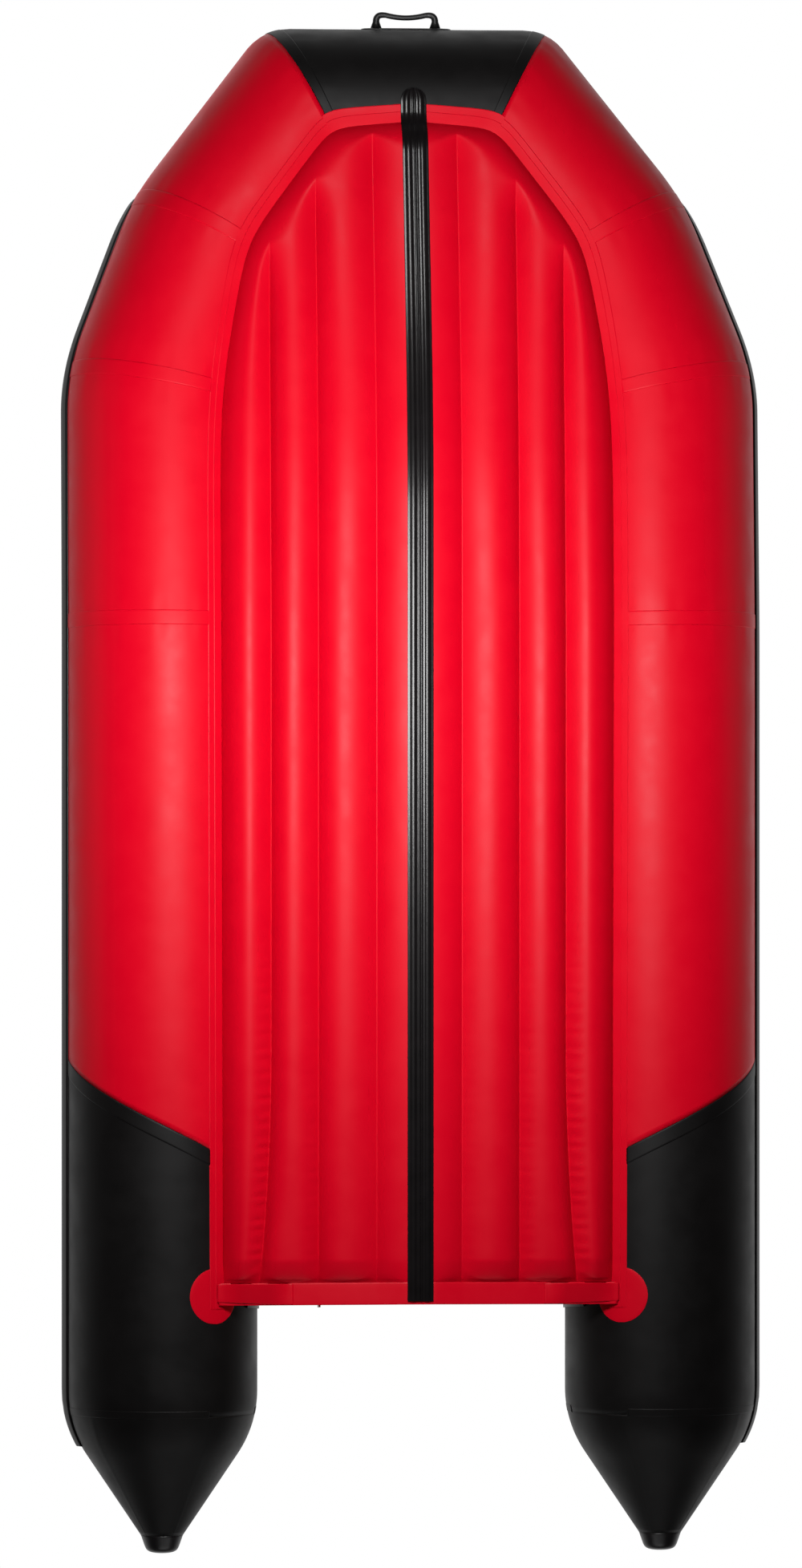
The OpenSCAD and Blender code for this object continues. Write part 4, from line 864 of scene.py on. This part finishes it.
# %% Rub strakes
STRAKE_HALF, STRAKE = 30 * MM, 10 * MM
h = mirrored([0, .2, .28, .36, .42, .55, .72, .86, .99, 1], -1.0)
stand = mirrored([.66, .7, .92, 1, .97, .82, .6, .45, .25, .05]) * STRAKE
h_loop = np.concatenate([h, h[::-1]]) * STRAKE_HALF
stand_loop = np.concatenate([stand, np.full(len(h), 0.1 * MM)])
strake_d = spaced((knot[2] - 0.4 * MM, knot[4] + 0.1, 90), (knot[4] + 0.12, knot[5], 60),
                  (knot[5] + 4 * MM, knot[5] + 70 * MM, 20))
grow = 0.25 + 0.75 * ramp((strake_d - strake_d[0]) / 0.08) ** 0.5
strake = on_tube(strake_d[:, None], -90 + np.degrees(h_loop / TUBE)[None],
                 TUBE + 0.2 * MM + stand_loop[None] * grow[:, None])
both_sides("rub_strake", strake, "black_rubber", ring=True, caps=2, sharp=60)

# %% [markdown]
# ## Bow handle
# The handle is a moulded loop on a bonded pad. Its round section is carried along a path with rounded
# corners and a grip that bows in by a few millimetres, thicker at the legs than at the grip.

# %% Bow handle
Y_BOW, BOW_Z = -1586.5 * MM, 380 * MM


def rounded(points, radius, steps=9):
    """Corners of a line replaced by quadratic curves that start one radius before them."""
    p = np.asarray(points, float)
    out = [p[:1]]
    q = np.linspace(0, 1, steps)[:, None]
    for before, here, after in zip(p[:-2], p[1:-1], p[2:]):
        a0 = here + unit(before - here) * radius
        b0 = here + unit(after - here) * radius
        out.append((1 - q) ** 2 * a0 + 2 * q * (1 - q) * here + q ** 2 * b0)
    return np.concatenate(out + [p[-1:]])


def swept(line, radius, sides=20, up=(0, 0, 1)):
    """Rings round a line: one axis is up, the other lies across both up and the line's direction."""
    tangent = unit(np.gradient(line, axis=0))
    across = unit(np.cross(tangent, np.asarray(up, float)))
    a = circle(sides)[None, :, None]
    r = np.broadcast_to(radius, len(line))[:, None, None]
    return line[:, None] + r * (np.cos(a) * across[:, None] + np.sin(a) * np.asarray(up, float))


grip_x = np.linspace(-1, 1, 25)
grip = np.stack([grip_x * 42 * MM, Y_BOW - 31 * MM + 5.5 * MM * (1 - grip_x ** 2),
                 np.full(25, BOW_Z)], -1)
LEG_X = 62.5 * MM
leg = np.array([[-LEG_X, Y_BOW - 3.4 * MM, BOW_Z], [-LEG_X, Y_BOW - 32 * MM, BOW_Z], grip[0]])
start = rounded(leg, 15 * MM, 13)
loop = np.concatenate([start[:-1], grip, (start[:-1] * MIRROR)[::-1]])
thick = np.interp(np.abs(loop[:, 0]), [0.0, 42 * MM, 60 * MM, LEG_X], [5.6, 5.8, 6.8, 7.2]) * MM
thick = thick + 5 * MM * ramp((loop[:, 1] - Y_BOW + 15 * MM) / (12 * MM)) ** 2
piece("bow_handle_moulding", swept(loop, thick), "black_plastic", ["bow_handle"], ring=True, caps=2)


def toward_square(w):
    """A sine or cosine to the power of 0.42, which makes a rounded oblong of an oval."""
    return np.sign(w) * np.abs(w) ** 0.42


q = circle(96)[None]
reach = np.array([0.02, 0.5, 0.8, 0.93, 0.985, 1.0, 1.0])[:, None]
rise = np.array([3.0, 3.0, 2.9, 2.4, 1.5, 0.8, 0.0])[:, None] * MM
px = 95 * MM * reach * toward_square(np.cos(q))
psi = 28 * MM * reach * toward_square(np.sin(q)) / TUBE
pr = TUBE + 0.2 * MM + rise + 0 * q
pad = np.stack([px, path[0, 1] - pr * np.cos(psi), BOW_Z + pr * np.sin(psi)], -1)
piece("bow_handle_pad_rubber", pad, "black_rubber", ["bow_handle_pad"], ring=True, caps=1,
      facing=(0, -1, 0))
print("handle made")

# %% [markdown]
# ## Valve springs
# Each valve holds a small stainless spring, a helix of round wire. When the stem is pushed in, the coil
# shortens toward its foot.

# %% Valve springs
WIRE, COIL, TURNS = 0.6 * MM, 4.4 * MM, 3          # radius of the wire and of the coil
FOOT, HEAD, PUSH = -8.2 * MM, -0.8 * MM, 4 * MM    # ends of the wire's middle line, and the stem's travel


def helix(centre, axis):
    """Turns of wire round an axis, from the guide up to the stem's head."""
    n = np.asarray(axis, float)
    e0 = unit(np.cross(n, [0.3, 0.5, 0.8]))
    e1 = np.cross(n, e0)
    t = np.linspace(0, TURNS * 2 * math.pi, 97)[:, None]
    round_axis = COIL * (np.cos(t) * e0 + np.sin(t) * e1)
    line = np.asarray(centre) + round_axis + n * (FOOT + (HEAD - FOOT) * t / t[-1])
    return swept(line, WIRE, sides=8, up=n)


VALVE_ANGLE = math.radians(118)                    # round the tube, from straight down
SIDE_X, SIDE_Z, VALVE_Y = 0.525, 0.23, 0.8735
nx, nz = math.sin(VALVE_ANGLE), -math.cos(VALVE_ANGLE)
springs = {"bow": ([0, path[0, 1] + TUBE * nx, path[0, 2] + TUBE * nz], [0, nx, nz]),
           "port": ([SIDE_X - TUBE * nx, VALVE_Y, SIDE_Z + TUBE * nz], [-nx, 0, nz]),
           "starboard": ([-SIDE_X + TUBE * nx, VALVE_Y, SIDE_Z + TUBE * nz], [nx, 0, nz]),
           "floor": ([0.1495, 0.9235, 0.11574], [0, 0, 1])}
for name, (centre, axis) in springs.items():
    coil = piece(f"{name}_valve_spring_wire", helix(centre, axis), "steel", ["valve_springs"],
                 ring=True, caps=2)
    foot = np.asarray(centre) + (FOOT - WIRE) * np.asarray(axis, float)
    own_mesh(coil)
print(len(springs), "springs")

# %% [markdown]
# ## Finishes for the rigid fittings
# The boards, mouldings and fasteners keep their CAD shape and get their finish here.

# %% Rigid fittings
slots = {s["node"]: s["material_slot"] for s in frame["record"]["subparts"]}
for node, obj in frame["nodes"].items():
    obj.data.materials.clear()
    obj.data.materials.append(finishes[slots[node]])
print(len(frame["nodes"]), "CAD nodes finished")

# %% [markdown]
# ## Studio floor
# The camera looks up from below, so the floor is clear from underneath. It is clear to reflected rays too,
# because lamps stand beneath it. Only a camera above sees its pale face, with the boat's shadow on it.

# %% Studio floor
FLOOR_REACH, FLOOR_Z = 900, -0.002
stage_mat = bpy.data.materials.new("pale_studio_floor")
stage_mat.use_nodes = True
tree = stage_mat.node_tree
tree.nodes.clear()
side_seen = add(tree, "NewGeometry")
ray = add(tree, "LightPath").outputs
front = add(tree, "Math", {0: 1.0, 1: side_seen.outputs["Backfacing"]}, operation="SUBTRACT")
shown = add(tree, "Math", {0: front, 1: ray["Is Camera Ray"]}, operation="MULTIPLY")
clear = add(tree, "BsdfTransparent")
pale = add(tree, "BsdfDiffuse", {"Color": (0.5, 0.5, 0.5, 1.0)})
glow = add(tree, "Emission", {"Color": (1.0, 1.0, 1.0, 1.0), "Strength": 0.75})
lit = add(tree, "AddShader", {0: pale, 1: glow})
mixed = add(tree, "MixShader", {"Fac": shown, 1: clear, 2: lit})
add(tree, "OutputMaterial", {"Surface": mixed})
floor_mesh = bpy.data.meshes.new("studio_floor")
corners = [(x * FLOOR_REACH, y * FLOOR_REACH, FLOOR_Z) for x, y in ((-1, -1), (1, -1), (1, 1), (-1, 1))]
floor_mesh.from_pydata(corners, [], [(0, 1, 2, 3)])
floor_mesh.materials.append(stage_mat)
floor_obj = add_object("studio_floor", floor_mesh)
print("studio floor", 2 * FLOOR_REACH, "m wide")

# %% [markdown]
# ## Background
# To the camera the world is plain white, as in the photograph. As a light it is dim below and grey above,
# so that colours render about as they are written. Reflected rays see white above, so that rims shine.

# %% Background
world = bpy.data.worlds.new("studio_world")
bpy.context.scene.world = world
world.use_nodes = True
tree = world.node_tree
tree.nodes.clear()
ray = add(tree, "LightPath").outputs
look = add(tree, "TexCoord")
height = add(tree, "SeparateXYZ", {"Vector": look.outputs["Generated"]})
level, sheen = [add(tree, "MapRange", {"Value": height.outputs["Z"], "From Min": 0.0, "From Max": 0.7,
                                       "To Min": 0.03, "To Max": top}, interpolation_type="SMOOTHSTEP")
                for top in (0.5, 1.0)]
around = add(tree, "Mix", {"Factor": ray["Is Glossy Ray"], "A": level, "B": sheen})
seen = add(tree, "Math", {0: ray["Is Camera Ray"], 1: ray["Is Transmission Ray"]}, operation="MAXIMUM")
strength = add(tree, "Mix", {"Factor": seen, "A": around, "B": 1.0})
back_light = add(tree, "Background", {"Color": (1.0, 1.0, 1.0, 1.0), "Strength": strength})
add(tree, "OutputWorld", {"Surface": back_light})
print("background of", len(tree.nodes), "nodes")

# %% [markdown]
# ## Lamps
# One soft lamp lights the underside from near the line of sight. Weaker ones lift the bow, the sides and
# the stern. Two large lamps light the top for the other views. Those that would draw a hard streak on the
# tubes are left out of reflections.

# %% Lamps
def lamp(name, place, target, size, power):
    """A rectangular area lamp that looks at a target."""
    light = bpy.data.lights.new(name, "AREA")
    light.shape, light.size, light.size_y, light.energy = "RECTANGLE", *size, power
    obj = add_object(name, light)
    z = unit(np.asarray(place, float) - np.asarray(target, float))
    x = unit(np.cross([0.0, 1.0, 0.001], z))
    obj.matrix_world = axes_at(x, np.cross(z, x), z, place)
    return obj


lamp("underside_lamp", (-0.22, -0.28, -1.85), (-0.22, -0.28, 0.0), (0.7, 0.7), 73)
lamp("bow_lamp", (-0.1, -2.0, -1.5), (0.0, -1.1, 0.2), (0.5, 0.3), 17)
for place, power in (((2.4, -0.3, 0.1), 9), ((-2.4, -0.3, 0.1), 12)):
    lamp("side_fill", place, (0.0, -0.3, 0.2), (0.5, 2.4), power).visible_glossy = False
lamp("stern_lamp", (0.0, 3.2, -0.9), (0.0, 1.45, 0.2), (2.0, 0.6), 9)
lamp("top_lamp", (-2.0, -2.5, 5.0), (0.0, 0.0, 0.2), (3.0, 3.0), 380).visible_glossy = False
lamp("top_fill", (3.0, 2.5, 3.5), (0.0, 0.0, 0.2), (3.0, 3.0), 165).visible_glossy = False

bpy.context.scene.view_settings.view_transform = "Standard"
print(len(bpy.data.lights), "lamps")
